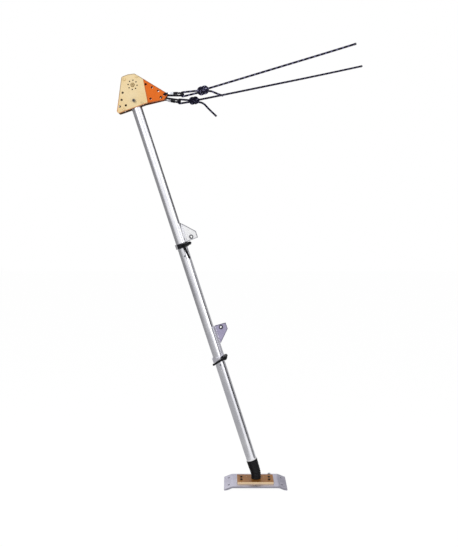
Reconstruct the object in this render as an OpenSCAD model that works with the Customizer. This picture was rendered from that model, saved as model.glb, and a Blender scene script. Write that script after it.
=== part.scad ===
// Guyed gin pole: a leaning three-piece tube on a pivoting toothed foot, with a two-plate head,
// two clamp-on rigging brackets and two carabiners that carry the ends of the guy ropes.
// The origin is on the ground under the foot pivot, +Z up, and the pole leans towards -X.

/* [Pole] */
// Lean of the pole from upright
lean = 17.8; // [5:0.1:28]
// Outside diameter of the tube
tube_od = 60; // [58:0.5:62]
// Wall of the tube
tube_wall = 3; // [2.5:0.1:3.5]
// Length of the lower tube section
lower_len = 560; // [500:5:620]
// Length of the middle tube section
middle_len = 665; // [600:5:720]
// Length of the upper tube section
upper_len = 980; // [900:5:1050]
// Length of each sleeve that joins two sections
coupler_len = 180; // [140:5:220]
// Wall of the coupling sleeve
coupler_wall = 3; // [2.5:0.1:3.5]
// Radius of a snap button
snap_r = 5; // [4:0.1:6]
// Height of a snap button above its tube joint
snap_above = 33; // [25:1:45]
// How far a snap button stands out of the tube
snap_proud = 3; // [2:0.1:4]

/* [Foot] */
// Height of the foot pivot above the ground
pivot_h = 72; // [71:0.5:76]
// Length of the toothed foot plate, over its flat middle
foot_flat = 260; // [240:2:270]
// Depth of the foot plate
foot_depth = 215; // [205:1:230]
// Thickness of the foot plate
foot_t = 10; // [8:0.5:10]
// Clear height under the flat middle of the foot plate
foot_arch = 18; // [16:0.5:18]
// Angle of the down-turned ends of the foot plate
foot_slope = 22; // [18:0.5:26]
// Inside bend radius of the down-turned ends
foot_bend_r = 30; // [20:1:40]
// Number of teeth on each end
tooth_count = 10; // [8:1:12]
// Height of a tooth
tooth_h = 7; // [5:0.5:8]
// Half spacing of the stake holes along the foot
stake_x = 156; // [154:1:159]
// Half spacing of the stake holes across the foot
stake_y = 58; // [50:1:70]
// Radius of a stake hole
stake_r = 6; // [5:0.5:7]
// Place of the middle of both plates along the foot, from the pivot
plates_x = -5; // [-8:1:0]
// Length of the base plate
base_len = 214; // [204:2:220]
// Depth of the base plate
base_depth = 132; // [120:2:140]
// Thickness of the base plate
base_t = 11; // [9:0.5:11]
// Half spacing of the base plate bolts along the plate
base_bolt_x = 82; // [76:1:88]
// Half spacing of the base plate bolts across the plate
base_bolt_y = 22; // [18:1:30]
// Radius of the base plate bolts
base_bolt_r = 4; // [3:0.5:5]

/* [Pivot] */
// Outside radius of the two yokes
yoke_r = 21; // [20:0.1:21.5]
// Gap between the two ears of a yoke
yoke_gap = 24; // [22:0.5:25]
// Radius of the cross pins
cross_pin_r = 4.5; // [4:0.1:5]
// Half height of the rounded ears about their pin
ear_r = 10; // [9:0.5:10]
// Height of the flange that closes the bottom of the tube
yoke_flange_h = 7; // [5:0.5:9]
// Distance of the tube's lower end from the pivot
tube_start = 93; // [90:1:100]
// Length of the yoke's plug inside the tube
plug_len = 60; // [40:1:80]

/* [Boot] */
// Radius over the ribs at the top of the boot
boot_top_r = 33; // [33:0.5:36]
// Radius over the ribs at the bottom of the boot
boot_bottom_r = 28.5; // [28.5:0.5:31]
// Number of ribs
boot_ribs = 13; // [9:1:15]
// Depth of the grooves between the ribs
boot_groove = 3; // [2:0.1:3]
// Wall of the boot
boot_wall = 2; // [1.5:0.1:2]

/* [Head] */
// Clear gap between the two head plates
head_gap = 62; // [62:0.5:66]
// Thickness of a head plate
head_t = 6; // [5:0.5:8]
// How far the tube reaches up into the head
head_overlap = 62; // [55:1:64]
// Inward bend of the wings
wing_bend = 9; // [6:0.5:10]
// Tilt of the bend line from the pole
bend_tilt = 7; // [4:0.5:9]
// Distance of the bend line from the pole at the head's lower edge
bend_u = 69; // [66:1:74]
// Corner radius of the plates
head_corner_r = 12; // [8:1:14]
// Radius of the rigging holes
rig_hole_r = 6.5; // [5:0.5:8]
// Radius of the two holes at the wing tips
tip_hole_r = 8; // [7.8:0.1:8.5]
// Radius of the spacer bolts
head_bolt_r = 5; // [4:0.5:6]
// Outside radius of the spacers
spacer_r = 8; // [7:0.5:9]
// Radius of the leg pin
leg_pin_r = 6; // [5:0.5:7]
// Height of the leg pin above the head's lower edge
leg_pin_d = 38; // [32:1:44]

/* [Sheave] */
// Place of the axle across the head
axle_u = 20; // [16:1:24]
// Place of the axle above the head's lower edge
axle_d = 123; // [120:1:128]
// Radius of the axle
axle_r = 8; // [7:0.5:9]
// Outside radius of the sheave
sheave_r = 42; // [36:1:42]
// Width of the sheave
sheave_w = 36; // [30:1:40]
// Radius of the rope groove
groove_r = 7; // [6:0.5:8]
// Wall of the bronze bush
bush_wall = 4; // [3:0.5:5]
// Number of small holes round the axle
ring_count = 8; // [6:1:10]
// Circle on which the small holes lie
ring_r = 25.4; // [23:0.1:27]
// Radius of a small hole
ring_hole_r = 4; // [3:0.5:4.5]

/* [Brackets] */
// Height of the upper clamp above the upper tube joint
upper_clamp_above = 96; // [90:1:140]
// Height of the lower clamp above the lower tube joint
lower_clamp_above = 68; // [66:1:140]
// Turn of the upper bracket about the pole, from the front
upper_turn = 80; // [0:1:180]
// Turn of the lower bracket about the pole, from the front
lower_turn = 105; // [0:1:180]
// Wall of the plastic liner in each clamp
liner_wall = 2; // [1.5:0.1:3]
// Wall of the clamp collar and its saddle
collar_wall = 6; // [5:0.5:7]
// Height of the clamp collar
collar_h = 28; // [24:1:32]
// Half angle that the saddle wraps round the tube
saddle_half = 51; // [40:1:60]
// Reach of the fin from the pole axis
fin_reach = 105; // [98:1:115]
// Thickness of the fin
fin_t = 8; // [6:0.5:10]
// Height of the fin where it meets the saddle
fin_h = 114; // [105:1:125]
// Height of the fin at its outer edge
fin_edge = 38; // [34:1:44]
// Distance of the rigging eye from the pole axis
eye_reach = 70; // [66:1:74]
// Distance of the rigging eye from the fin's straight edge
eye_in = 20; // [18:1:22]
// Radius of the rigging eye
eye_r = 6.5; // [6:0.1:8]
// Wall of the black bush in the rigging eye
eye_wall = 3.5; // [2.5:0.1:4]
// Length of neck between the lower clamp and its fin
lower_neck = 64; // [50:1:80]
// Turn of the clamp ears from the fin, towards the front
ear_turn = 20; // [15:1:25]
// Distance of the clamp stud from the pole axis
stud_reach = 43; // [42.4:0.1:45]
// Radius of the clamp stud
stud_r = 4; // [3:0.5:4]
// Half width of the pair of clamp ears
ear_half = 22; // [20:0.5:24]
// Slit of the clamp collar
slit = 4; // [3:0.5:5]
// Radius of the lever's hub
hub_r = 12; // [10:0.5:13]
// Length of the lever's arm
arm_len = 76; // [65:1:85]
// Radius of the lever's arm
arm_r = 5.5; // [4.5:0.1:6]

/* [Carabiners] */
// Radius of the carabiner's stock
stock_r = 5.5; // [5:0.1:5.7]
// Radius of the narrow bow, to the middle of the stock
bow_small = 16; // [15.5:0.1:17]
// Radius of the wide bow, to the middle of the stock
bow_large = 20; // [19:0.5:23]
// Length of the carabiner, to the middle of the stock
crab_len = 106; // [104:1:112]
// Length of the locking sleeve
sleeve_len = 40; // [34:0.5:40]
// Wall of the locking sleeve
sleeve_wall = 2; // [1.5:0.1:2.5]
// Travel of the locking sleeve over the nose
sleeve_travel = 7; // [5:0.5:7.5]
// Roll of both carabiners, near side up
crab_roll = 12; // [0:1:14]

/* [Ropes] */
// Diameter of the guy ropes
rope_d = 11; // [9:0.1:11]

/* [Hidden] */
$fn = 64;

// Fits: a running fit, a slip fit and the step that makes a cut pass right through
running = 0.05;
slip = 0.1;
rest_gap = 0.3;
past = 1;

// Stations along the pole, from the pivot
tube_r = tube_od / 2;
tube_bore = tube_r - tube_wall;
lower_joint = tube_start + lower_len;
upper_joint = lower_joint + middle_len;
tube_top = upper_joint + upper_len;
head_s = tube_top - head_overlap;
upper_clamp = upper_joint + upper_clamp_above;
lower_clamp = lower_joint + lower_clamp_above;

// A point of the pole's own frame: across, towards the back and along the pole
function pole_point(u, y, s) =
    [u * cos(lean) - s * sin(lean), y, pivot_h + u * sin(lean) + s * cos(lean)];

module on_pole(s) {
    translate([0, 0, pivot_h]) rotate([0, -lean, 0]) translate([0, 0, s]) children();
}

// A convex outline with every corner rounded, from its sharp corners taken anticlockwise
corner_steps = 10;
function unit(v) = v / norm(v);
function corner_arc(at, before, after, r) =
    let (a = unit(before - at), b = unit(after - at), half = acos(a * b) / 2,
         centre = at + unit(a + b) * r / sin(half), start = at + a * r / tan(half) - centre)
    [for (k = [0:corner_steps])
        centre + r * unit_at(atan2(start[1], start[0]) + (180 - 2 * half) * k / corner_steps)];
function unit_at(angle) = [cos(angle), sin(angle)];
module rounded_outline(p, r) {
    n = len(p);
    polygon([for (i = [0:n - 1]) each corner_arc(p[i], p[(i + n - 1) % n], p[(i + 1) % n], r)]);
}

module tube(r_out, r_in, h) {
    difference() {
        cylinder(r = r_out, h = h);
        translate([0, 0, -past]) cylinder(r = r_in, h = h + 2 * past);
    }
}

module hex_nut(r_bore, flats, h) {
    difference() {
        cylinder(r = flats / 2 / cos(30), h = h, $fn = 6);
        translate([0, 0, -past]) cylinder(r = r_bore, h = h + 2 * past);
    }
}

// A solid skinned over a list of rings that all have as many points
function skin_faces(rings, sides, closed) = [
    for (i = [0:rings - (closed ? 1 : 2)]) for (j = [0:sides - 1])
        let (a = i * sides + j, b = i * sides + (j + 1) % sides,
             c = ((i + 1) % rings) * sides + j, d = ((i + 1) % rings) * sides + (j + 1) % sides)
        each [[a, b, d], [a, d, c]]
];
function fan(start, sides, flip) = [for (j = [1:sides - 2]) flip ? [start, start + j + 1, start + j]
                                                               : [start, start + j, start + j + 1]];
module skin(rings, closed = false) {
    n = len(rings);
    sides = len(rings[0]);
    ends = closed ? [] : concat(fan(0, sides, true), fan((n - 1) * sides, sides, false));
    polyhedron([for (r = rings) each r], concat(skin_faces(n, sides, closed), ends));
}

// A round tube swept along a route whose run is never parallel to +Y
function heading(p, i) = unit(p[min(i + 1, len(p) - 1)] - p[max(i - 1, 0)]);
function sweep_ring(p, i, r, sides) = let (t = heading(p, i), v = unit(cross(t, [0, 1, 0])), w = cross(t, v))
    [for (j = [0:sides - 1]) p[i] + r * (cos(360 * j / sides) * w + sin(360 * j / sides) * v)];
module swept(p, r, sides) {
    skin([for (i = [0:len(p) - 1]) sweep_ring(p, i, r, sides)]);
}
// Evenly spaced points on the straight runs between the points of a route
function filled(p, n) = concat(
    [for (i = [0:len(p) - 2]) for (k = [0:n - 1]) p[i] + (p[i + 1] - p[i]) * k / n], [p[len(p) - 1]]);

// The sharp corners of a head plate, across and above its lower edge
plate_corners = [[-118, -4], [60, 2], [162, -9], [196, 16], [50, 179], [12, 186], [-26, 184]];
// Rigging holes, a column down the free edge, two by the tube and a row down the wing
rig_holes = [[-47, 99], [-65, 63], [-86, 31], [-52, 27], [91, 104], [119, 78], [146, 50], [92, 20]];
spacer_spots = [[-70, 10], [39.5, 14], [-16, 166], [56, 160]];
front_tip = [174, 20];
rear_tip = [150, 11];
// How far a point lies past the bend line, and the middle of the bent sheet at that point
function past_bend(p) = (p[0] - bend_u) * cos(bend_tilt) - p[1] * sin(bend_tilt);
function wing_point(p, side) =
    let (out = head_t / 2 / cos(wing_bend) - past_bend(p) * tan(wing_bend))
    pole_point(p[0], side * (head_gap / 2 + out), head_s + p[1]);

module plate_outline() {
    difference() {
        rounded_outline(plate_corners, head_corner_r);
        for (h = rig_holes) translate(h) circle(rig_hole_r);
        for (h = spacer_spots) translate(h) circle(head_bolt_r + slip);
        for (h = [front_tip, rear_tip]) translate(h) circle(tip_hole_r);
        translate([0, leg_pin_d]) circle(leg_pin_r + running);
        translate([axle_u, axle_d]) {
            circle(axle_r + slip);
            for (i = [0:ring_count - 1]) rotate((i + 0.5) * 360 / ring_count)
                translate([ring_r, 0]) circle(ring_hole_r);
        }
    }
}
// One plate, its inner face at zero: the outline cut from a sheet whose wing is bent inwards
module bent_sheet() {
    reach = 200;
    half_wide = 250;
    mitre = head_t * tan(wing_bend / 2);
    end = reach * [cos(wing_bend), -sin(wing_bend)];
    end_top = end + head_t * [sin(wing_bend), cos(wing_bend)];
    translate([bend_u, 0, 0]) rotate([0, 0, -bend_tilt]) translate([0, half_wide, 0])
        rotate([90, 0, 0]) linear_extrude(2 * half_wide)
            polygon([[-reach, 0], [0, 0], end, end_top, [mitre, head_t], [-reach, head_t]]);
}
module bent_plate() {
    intersection() {
        bent_sheet();
        translate([0, 0, -50]) linear_extrude(60) plate_outline();
    }
}
module head_plate_front() {
    color("#f3d6a0") on_pole(head_s) translate([0, -head_gap / 2, 0]) rotate([90, 0, 0]) bent_plate();
}
module head_plate_rear() {
    color("#f3d6a0") on_pole(head_s) mirror([0, 1, 0]) translate([0, -head_gap / 2, 0])
        rotate([90, 0, 0]) bent_plate();
}

// Puts its children at a place of the head, with their z axis running from front to back
module across_head(spot, y = 0) {
    on_pole(head_s) translate([spot[0], y, spot[1]]) rotate([-90, 0, 0]) children();
}
plate_outer = head_gap / 2 + head_t;

module head_spacers() {
    color("#c9a878") for (p = spacer_spots) across_head(p, -head_gap / 2)
        tube(spacer_r, head_bolt_r + slip, head_gap);
}
bolt_head_r = 9;
bolt_head_h = 5;
nut_h = 8;
module head_bolts() {
    shank = 2 * plate_outer + nut_h + 3;
    color("#d8d8da") for (p = spacer_spots) across_head(p, -plate_outer) {
        cylinder(r = head_bolt_r, h = shank);
        translate([0, 0, -bolt_head_h]) difference() {
            cylinder(r1 = 6.5, r2 = bolt_head_r, h = bolt_head_h);
            translate([0, 0, -past]) cylinder(r = 3.4, h = 4, $fn = 6);
        }
    }
}
module head_nuts() {
    color("#c4c4c8") for (p = spacer_spots) across_head(p, plate_outer)
        hex_nut(head_bolt_r + slip, 17, nut_h);
}

axle = [axle_u, axle_d];
bush_r = axle_r + bush_wall;
module sheave() {
    rim = sheave_w / 2;
    color("#8d8f94") across_head(axle) difference() {
        rotate_extrude() difference() {
            translate([bush_r + running, -rim]) square([sheave_r - bush_r - running, sheave_w]);
            translate([sheave_r + 1, 0]) circle(groove_r + 2);
            translate([bush_r + 6, rim - 6]) square([sheave_r - bush_r - 18, 7]);
            translate([bush_r + 6, -rim - 1]) square([sheave_r - bush_r - 18, 7]);
        }
    }
}
module sheave_bush() {
    color("#b08a4c") across_head(axle, -sheave_w / 2 - rest_gap)
        tube(bush_r, axle_r + slip, sheave_w + 2 * rest_gap);
}
module axle_collars() {
    h = (head_gap - sheave_w) / 2 - rest_gap;
    color("#9a9ca2") {
        across_head(axle, -head_gap / 2) tube(bush_r + 4, axle_r + slip, h);
        across_head(axle, head_gap / 2 - h) tube(bush_r + 4, axle_r + slip, h);
    }
}
module sheave_axle() {
    color("#c9cacd") across_head(axle, -plate_outer) {
        cylinder(r = axle_r, h = 2 * plate_outer + nut_h + 4);
        translate([0, 0, -bolt_head_h]) difference() {
            cylinder(r1 = 9, r2 = 12, h = bolt_head_h);
            translate([0, 0, -past]) cylinder(r = 5, h = 4.5, $fn = 6);
        }
    }
}
module axle_nut() {
    color("#b9babd") across_head(axle, plate_outer) hex_nut(axle_r + slip, 24, nut_h + 2);
}

// The leg pin runs through both plates and the tube, with its push button in the grip
pin_grip = 14;
pin_button_r = 4;
button_depth = 8;
button_travel = 3;
module leg_pin() {
    spot = [0, leg_pin_d];
    color("#a9abb0") across_head(spot, -plate_outer) difference() {
        union() {
            cylinder(r = leg_pin_r, h = 2 * plate_outer + 12);
            translate([0, 0, 2 * plate_outer + 12]) cylinder(r1 = leg_pin_r, r2 = leg_pin_r - 2, h = 3);
            translate([0, 0, -pin_grip]) cylinder(r = 9, h = pin_grip);
        }
        translate([0, 0, -pin_grip - past]) cylinder(r = pin_button_r + running, h = button_depth + past);
    }
}
module pin_button() {
    color("#3a3c42") across_head([0, leg_pin_d], -plate_outer - pin_grip - button_travel)
        cylinder(r = pin_button_r, h = button_depth - rest_gap);
}

// Tube sections, from the foot up
module snap_hole(s) {
    translate([0, 0, s]) rotate([90, 0, 0]) cylinder(r = snap_r + running, h = tube_od);
}
module tube_section(from, length, snap = 0, pin = 0) {
    color("#d4d5db") on_pole(from) difference() {
        tube(tube_r, tube_bore, length);
        if (snap > 0) snap_hole(snap);
        if (pin > 0) translate([0, -tube_od, pin]) rotate([-90, 0, 0])
            cylinder(r = leg_pin_r + running, h = 2 * tube_od);
    }
}
module tube_lower() {
    tube_section(tube_start, lower_len);
}
module tube_middle() {
    tube_section(lower_joint, middle_len, snap_above);
}
module tube_upper() {
    tube_section(upper_joint, upper_len, snap_above, head_s + leg_pin_d - upper_joint);
}
coupler_r = tube_bore - slip;
module coupler(joint) {
    color("#b9bbc2") on_pole(joint - coupler_len / 2) difference() {
        tube(coupler_r, coupler_r - coupler_wall, coupler_len);
        snap_hole(coupler_len / 2 + snap_above);
    }
}
module coupler_lower() {
    coupler(lower_joint);
}
module coupler_upper() {
    coupler(upper_joint);
}
// A snap button has a shoulder inside the sleeve that stops it, and a spring behind the shoulder
shoulder_r = snap_r + 3;
shoulder_y = sqrt(pow(coupler_r - coupler_wall, 2) - pow(shoulder_r, 2)) - rest_gap;
shoulder_t = 2;
snap_travel = snap_proud + 1;
module snap_button(joint) {
    color("#e2e3e6") on_pole(joint + snap_above) rotate([90, 0, 0]) {
        translate([0, 0, shoulder_y - shoulder_t]) cylinder(r = shoulder_r, h = shoulder_t);
        cylinder(r = snap_r, h = tube_r + snap_proud - 2);
        translate([0, 0, tube_r + snap_proud - 2]) cylinder(r1 = snap_r, r2 = snap_r - 2, h = 2);
    }
}
module snap_button_upper() {
    snap_button(upper_joint);
}
module snap_button_lower() {
    snap_button(lower_joint);
}
module snap_spring(joint) {
    back = shoulder_y + rest_gap;
    color("#6d7076") on_pole(joint + snap_above) rotate([90, 0, 0])
        translate([0, 0, -back]) tube(snap_r + 2.5, snap_r + rest_gap, back + shoulder_y - shoulder_t);
}
module snap_spring_upper() {
    snap_spring(upper_joint);
}
module snap_spring_lower() {
    snap_spring(lower_joint);
}
module top_cap() {
    color("#1f2126") on_pole(tube_top) {
        cylinder(r = tube_r - 1, h = 3);
        translate([0, 0, -16]) tube(tube_bore - slip, tube_bore - 3, 16);
    }
}

// Brackets: a split collar with a saddle and a fin, clamped on a plastic liner by a lever
liner_r = tube_r + running + liner_wall;
collar_in = liner_r + running;
collar_out = collar_in + collar_wall;
module facing(s, turn) {
    on_pole(s) rotate([0, 0, turn - 90]) children();
}
// Puts its children on the clamp stud, their z axis along the stud towards the back
module on_stud(y = 0) {
    rotate([0, 0, -ear_turn]) translate([stud_reach, y, 0]) rotate([-90, 0, 0]) children();
}
saddle_wall = collar_wall - 1;
ear_wide = 10;
module fin_outline() {
    root = collar_in + 2;
    rise = 5;
    rounded_outline([[root, 0], [fin_reach, rise], [fin_reach, rise + fin_edge], [root, fin_h]], 1.5);
}
module ear_outline() {
    translate([stud_reach, 0]) circle(ear_wide);
    translate([tube_r, -ear_wide]) square([stud_reach - tube_r, 2 * ear_wide]);
}
// Where a fin starts above the middle of its collar
function fin_start(neck) = collar_h / 2 + neck - 2;
module clamp_body(neck, flip) {
    fin_at = fin_start(neck);
    top = fin_at + fin_h;
    eye_s = flip ? top - eye_in : fin_at + eye_in;
    difference() {
        union() {
            translate([0, 0, -collar_h / 2]) cylinder(r = collar_out, h = collar_h);
            rotate([0, 0, -saddle_half]) rotate_extrude(angle = 2 * saddle_half)
                translate([collar_in - 1, 0]) square([saddle_wall + 1, top]);
            translate([0, 0, flip ? top : fin_at]) mirror([0, 0, flip ? 1 : 0]) rotate([90, 0, 0])
                linear_extrude(fin_t, center = true) fin_outline();
            rotate([0, 0, -ear_turn]) translate([0, ear_half, 0]) rotate([90, 0, 0])
                linear_extrude(2 * ear_half) ear_outline();
        }
        translate([0, 0, -collar_h]) cylinder(r = collar_in, h = top + 2 * collar_h);
        rotate([0, 0, -ear_turn]) translate([0, -slit / 2, -collar_h]) cube([80, slit, 1.5 * collar_h + 2]);
        on_stud(-ear_half - past) cylinder(r = stud_r + slip, h = 2 * ear_half + 2 * past);
        translate([eye_reach, 0, eye_s]) rotate([90, 0, 0])
            cylinder(r = eye_r + eye_wall + slip, h = fin_t + 2, center = true);
    }
}
module eye_bush(neck, flip) {
    fin_at = fin_start(neck);
    eye_s = flip ? fin_at + fin_h - eye_in : fin_at + eye_in;
    length = fin_t + 4;
    translate([eye_reach, length / 2, eye_s]) rotate([90, 0, 0]) tube(eye_r + eye_wall, eye_r, length);
}
// The liner is a slit ring inside the collar, with a tongue above it that lines the saddle
module clamp_liner(neck) {
    h = collar_h / 2 + fin_start(neck) + fin_h;
    color("#e9e9ee") difference() {
        translate([0, 0, -collar_h / 2]) tube(liner_r, tube_r + running, h);
        rotate([0, 0, saddle_half]) rotate_extrude(angle = 360 - 2 * saddle_half)
            translate([tube_r - 2, collar_h / 2]) square([liner_wall + 4, h]);
        rotate([0, 0, -ear_turn]) translate([0, -slit / 2, -collar_h]) cube([80, slit, 1.5 * collar_h + 2]);
    }
}
washer_h = 2;
hub_len = 30;
hub_start = ear_half + washer_h;
module clamp_stud() {
    inside_hub = hub_start + hub_len - 6;
    color("#8f9198") on_stud(-inside_hub) cylinder(r = stud_r, h = inside_hub + ear_half + 11);
}
module clamp_nut() {
    color("#9b9da3") on_stud(ear_half) hex_nut(stud_r + slip, 14, 8);
}
module clamp_washer() {
    color("#1a1b20") on_stud(-ear_half - washer_h) tube(hub_r - 1, stud_r + slip, washer_h - slip);
}
// The arm leaves the hub at an angle from the pole's own direction and ends in a ball
module clamp_lever(angle) {
    arm_y = hub_start + hub_len - arm_r - 1;
    color("#111318") difference() {
        union() {
            on_stud(-hub_start - hub_len) {
                cylinder(r1 = hub_r - 2, r2 = hub_r, h = 4);
                translate([0, 0, 4]) cylinder(r = hub_r, h = hub_len - 4);
            }
            rotate([0, 0, -ear_turn]) translate([stud_reach, -arm_y, 0]) rotate([0, angle, 0]) {
                cylinder(r1 = arm_r + 1.5, r2 = arm_r, h = arm_len);
                translate([0, 0, arm_len]) sphere(r = arm_r + 1.5);
            }
        }
        on_stud(-hub_start - hub_len + 5) cylinder(r = stud_r + running, h = hub_len);
    }
}
upper_arm_angle = 171;
lower_arm_angle = -104;
module bracket_upper() {
    color("#eceaf0") facing(upper_clamp, upper_turn) clamp_body(0, false);
}
module eye_bush_upper() {
    color("#1c1c20") facing(upper_clamp, upper_turn) eye_bush(0, false);
}
module clamp_liner_upper() {
    facing(upper_clamp, upper_turn) clamp_liner(0);
}
module clamp_stud_upper() {
    facing(upper_clamp, upper_turn) clamp_stud();
}
module clamp_nut_upper() {
    facing(upper_clamp, upper_turn) clamp_nut();
}
module clamp_washer_upper() {
    facing(upper_clamp, upper_turn) clamp_washer();
}
module clamp_lever_upper() {
    facing(upper_clamp, upper_turn) clamp_lever(upper_arm_angle);
}
module bracket_lower() {
    color("#d5d1e0") facing(lower_clamp, lower_turn) clamp_body(lower_neck, true);
}
module eye_bush_lower() {
    color("#1c1c20") facing(lower_clamp, lower_turn) eye_bush(lower_neck, true);
}
module clamp_liner_lower() {
    facing(lower_clamp, lower_turn) clamp_liner(lower_neck);
}
module clamp_stud_lower() {
    facing(lower_clamp, lower_turn) clamp_stud();
}
module clamp_nut_lower() {
    facing(lower_clamp, lower_turn) clamp_nut();
}
module clamp_washer_lower() {
    facing(lower_clamp, lower_turn) clamp_washer();
}
module clamp_lever_lower() {
    facing(lower_clamp, lower_turn) clamp_lever(lower_arm_angle);
}

// Carabiners: x from the head plate's hole to the rope, the gate on the +y side, z square to the ring
bow_gap = crab_len - bow_small - bow_large;
taper = asin((bow_large - bow_small) / bow_gap);
side_len = bow_gap * cos(taper);
small_centre = [bow_small, 0, 0];
large_centre = [crab_len - bow_large, 0, 0];
hinge_at = 9;
slot_half = 2.6;
tongue_half = 2.45;
tongue_end = 15.5;
nose_len = 6;
gate_pin_r = 1.6;
module bow(centre, r, from, sweep) {
    translate(centre) rotate([0, 0, from]) rotate_extrude(angle = sweep) translate([r, 0]) circle(stock_r);
}
// Puts its children at the start of one side of the ring, their x axis along that side
module along_side(side) {
    mirror([0, side > 0 ? 0 : 1, 0]) translate(small_centre) rotate([0, 0, taper])
        translate([0, bow_small, 0]) children();
}
// The straight stock is a hair thinner than the bows, so that it ends cleanly inside them
bar_r = stock_r - 0.1;
bar_lap = 0.5;
module stock(from, to) {
    translate([from, 0, 0]) rotate([0, 90, 0]) cylinder(r = bar_r, h = to - from);
}
module carabiner() {
    bow(small_centre, bow_small, 90 + taper, 180 - 2 * taper);
    bow(large_centre, bow_large, -90 - taper, 180 + 2 * taper);
    along_side(-1) stock(-bar_lap, side_len + bar_lap);
    along_side(1) {
        stock(side_len - nose_len, side_len + bar_lap);
        difference() {
            stock(-bar_lap, hinge_at + 4);
            translate([hinge_at - 5.5, -2 * stock_r, -slot_half]) cube([20, 4 * stock_r, 2 * slot_half]);
            translate([hinge_at, 0, 0]) cylinder(r = gate_pin_r + slip, h = 3 * stock_r, center = true);
        }
    }
}
module gate() {
    along_side(1) difference() {
        union() {
            stock(tongue_end, side_len - nose_len - rest_gap);
            intersection() {
                stock(hinge_at - 4.6, tongue_end);
                union() {
                    translate([hinge_at, 0, -tongue_half]) cylinder(r = 4.6, h = 2 * tongue_half);
                    translate([hinge_at, -4.6, -tongue_half]) cube([20, 9.2, 2 * tongue_half]);
                }
            }
        }
        translate([hinge_at, 0, 0]) cylinder(r = gate_pin_r + running, h = 3 * stock_r, center = true);
    }
}
module gate_pin() {
    along_side(1) translate([hinge_at, 0, 0]) cylinder(r = gate_pin_r, h = 2 * stock_r - 1, center = true);
}
sleeve_start = side_len - nose_len - 1 - sleeve_len;
module lock_sleeve() {
    along_side(1) translate([sleeve_start, 0, 0]) rotate([0, 90, 0])
        tube(bar_r + running + sleeve_wall, bar_r + running, sleeve_len);
}
front_yaw = -5;
front_rise = 0;
rear_yaw = 3;
rear_rise = -9;
front_hole = wing_point(front_tip, -1);
rear_hole = wing_point(rear_tip, 1);
module at_front() {
    translate(front_hole) rotate([-crab_roll, -front_rise, front_yaw]) mirror([0, 1, 0]) children();
}
module at_rear() {
    translate(rear_hole) rotate([-crab_roll, -rear_rise, rear_yaw]) children();
}
module carabiner_front() {
    color("#17182a") at_front() carabiner();
}
module gate_front() {
    color("#b7bcc8") at_front() gate();
}
module gate_pin_front() {
    color("#8b8f98") at_front() gate_pin();
}
module lock_sleeve_front() {
    color("#0b0b0f") at_front() lock_sleeve();
}
module carabiner_rear() {
    color("#17182a") at_rear() carabiner();
}
module gate_rear() {
    color("#a9b5ac") at_rear() gate();
}
module gate_pin_rear() {
    color("#8b8f98") at_rear() gate_pin();
}
module lock_sleeve_rear() {
    color("#0b0b0f") at_rear() lock_sleeve();
}

// Ropes: their points are counted from the middle of the wide bow's stock
function bow_end(hole, yaw, rise) =
    hole + crab_len * [cos(rise) * cos(yaw), cos(rise) * sin(yaw), sin(rise)];
front_bow = bow_end(front_hole, front_yaw, front_rise);
rear_bow = bow_end(rear_hole, rear_yaw, rear_rise);
rope_r = rope_d / 2;
front_route = [[142, -17, 30], [300, -64, 69], [460, -112, 109], [620, -159, 149],
               [780, -207, 189], [932, -252, 228]];
rear_route = [[107, 13, 11], [300, 60, 56], [500, 108, 103], [700, 157, 150],
              [900, 205, 198], [1079, 249, 242]];
front_tail = [[140, -14, 16], [160, -16, 14], [180, -18, 6], [204, -21, -4], [226, -23, -11]];
rear_tail = [[104, 6, -3], [122, 8, -6], [140, 10, -16], [160, 13, -37], [184, 16, -60], [208, 18, -82]];
front_knot = [112, -10, 20];
rear_knot = [79, 7, 6];
function placed(p, from) = [for (q = p) from + q];
// The bight that holds the carabiner: round its stock on a half circle and back into the knot
bight_r = rope_r + stock_r + rest_gap;
function bight(knot) =
    let (e = unit(knot), up = unit(cross(e, [0, 1, 0])), reach = norm(knot), spread = 6.2)
    concat(
        [for (k = [0:3]) e * (reach - 8) * (1 - k / 4) + up * (spread + (bight_r - spread) * k / 4)],
        [for (a = [0:30:180]) bight_r * (cos(a) * up - sin(a) * e)],
        [for (k = [3:-1:0]) e * (reach - 8) * (1 - k / 4) - up * (spread + (bight_r - spread) * k / 4)]);
module rope(route, from) {
    color("#15132a") swept(filled(placed(route, from), 5), rope_r, 8);
}
module tail(route, from) {
    color("#15132a") swept(placed(route, from), rope_r, 8);
}
// The stretch inside the knot that a rope's first face meets square on
function lead_in(route) = [route[0] - 16 * unit(route[1] - route[0]), route[0]];
module knot(centre, from, half, fat, route, tail_route) {
    color("#191730") {
        translate(from + centre) rotate([0, -12, 0]) hull() {
            translate([-half + fat, 0, -2]) sphere(r = fat - 3, $fn = 16);
            translate([0, 0, 3]) sphere(r = fat, $fn = 16);
            translate([half - fat, 0, 0]) sphere(r = fat - 4, $fn = 16);
        }
        swept(placed(bight(centre), from), rope_r, 8);
        swept(placed(lead_in(route), from), rope_r, 8);
        swept(placed(lead_in(tail_route), from), rope_r, 8);
    }
}
module rope_front() {
    rope(front_route, front_bow);
}
module knot_front() {
    knot(front_knot, front_bow, 33, 26, front_route, front_tail);
}
module tail_front() {
    tail(front_tail, front_bow);
}
module rope_rear() {
    rope(rear_route, rear_bow);
}
module knot_rear() {
    knot(rear_knot, rear_bow, 29, 23, rear_route, rear_tail);
}
module tail_rear() {
    tail(rear_tail, rear_bow);
}

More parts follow.
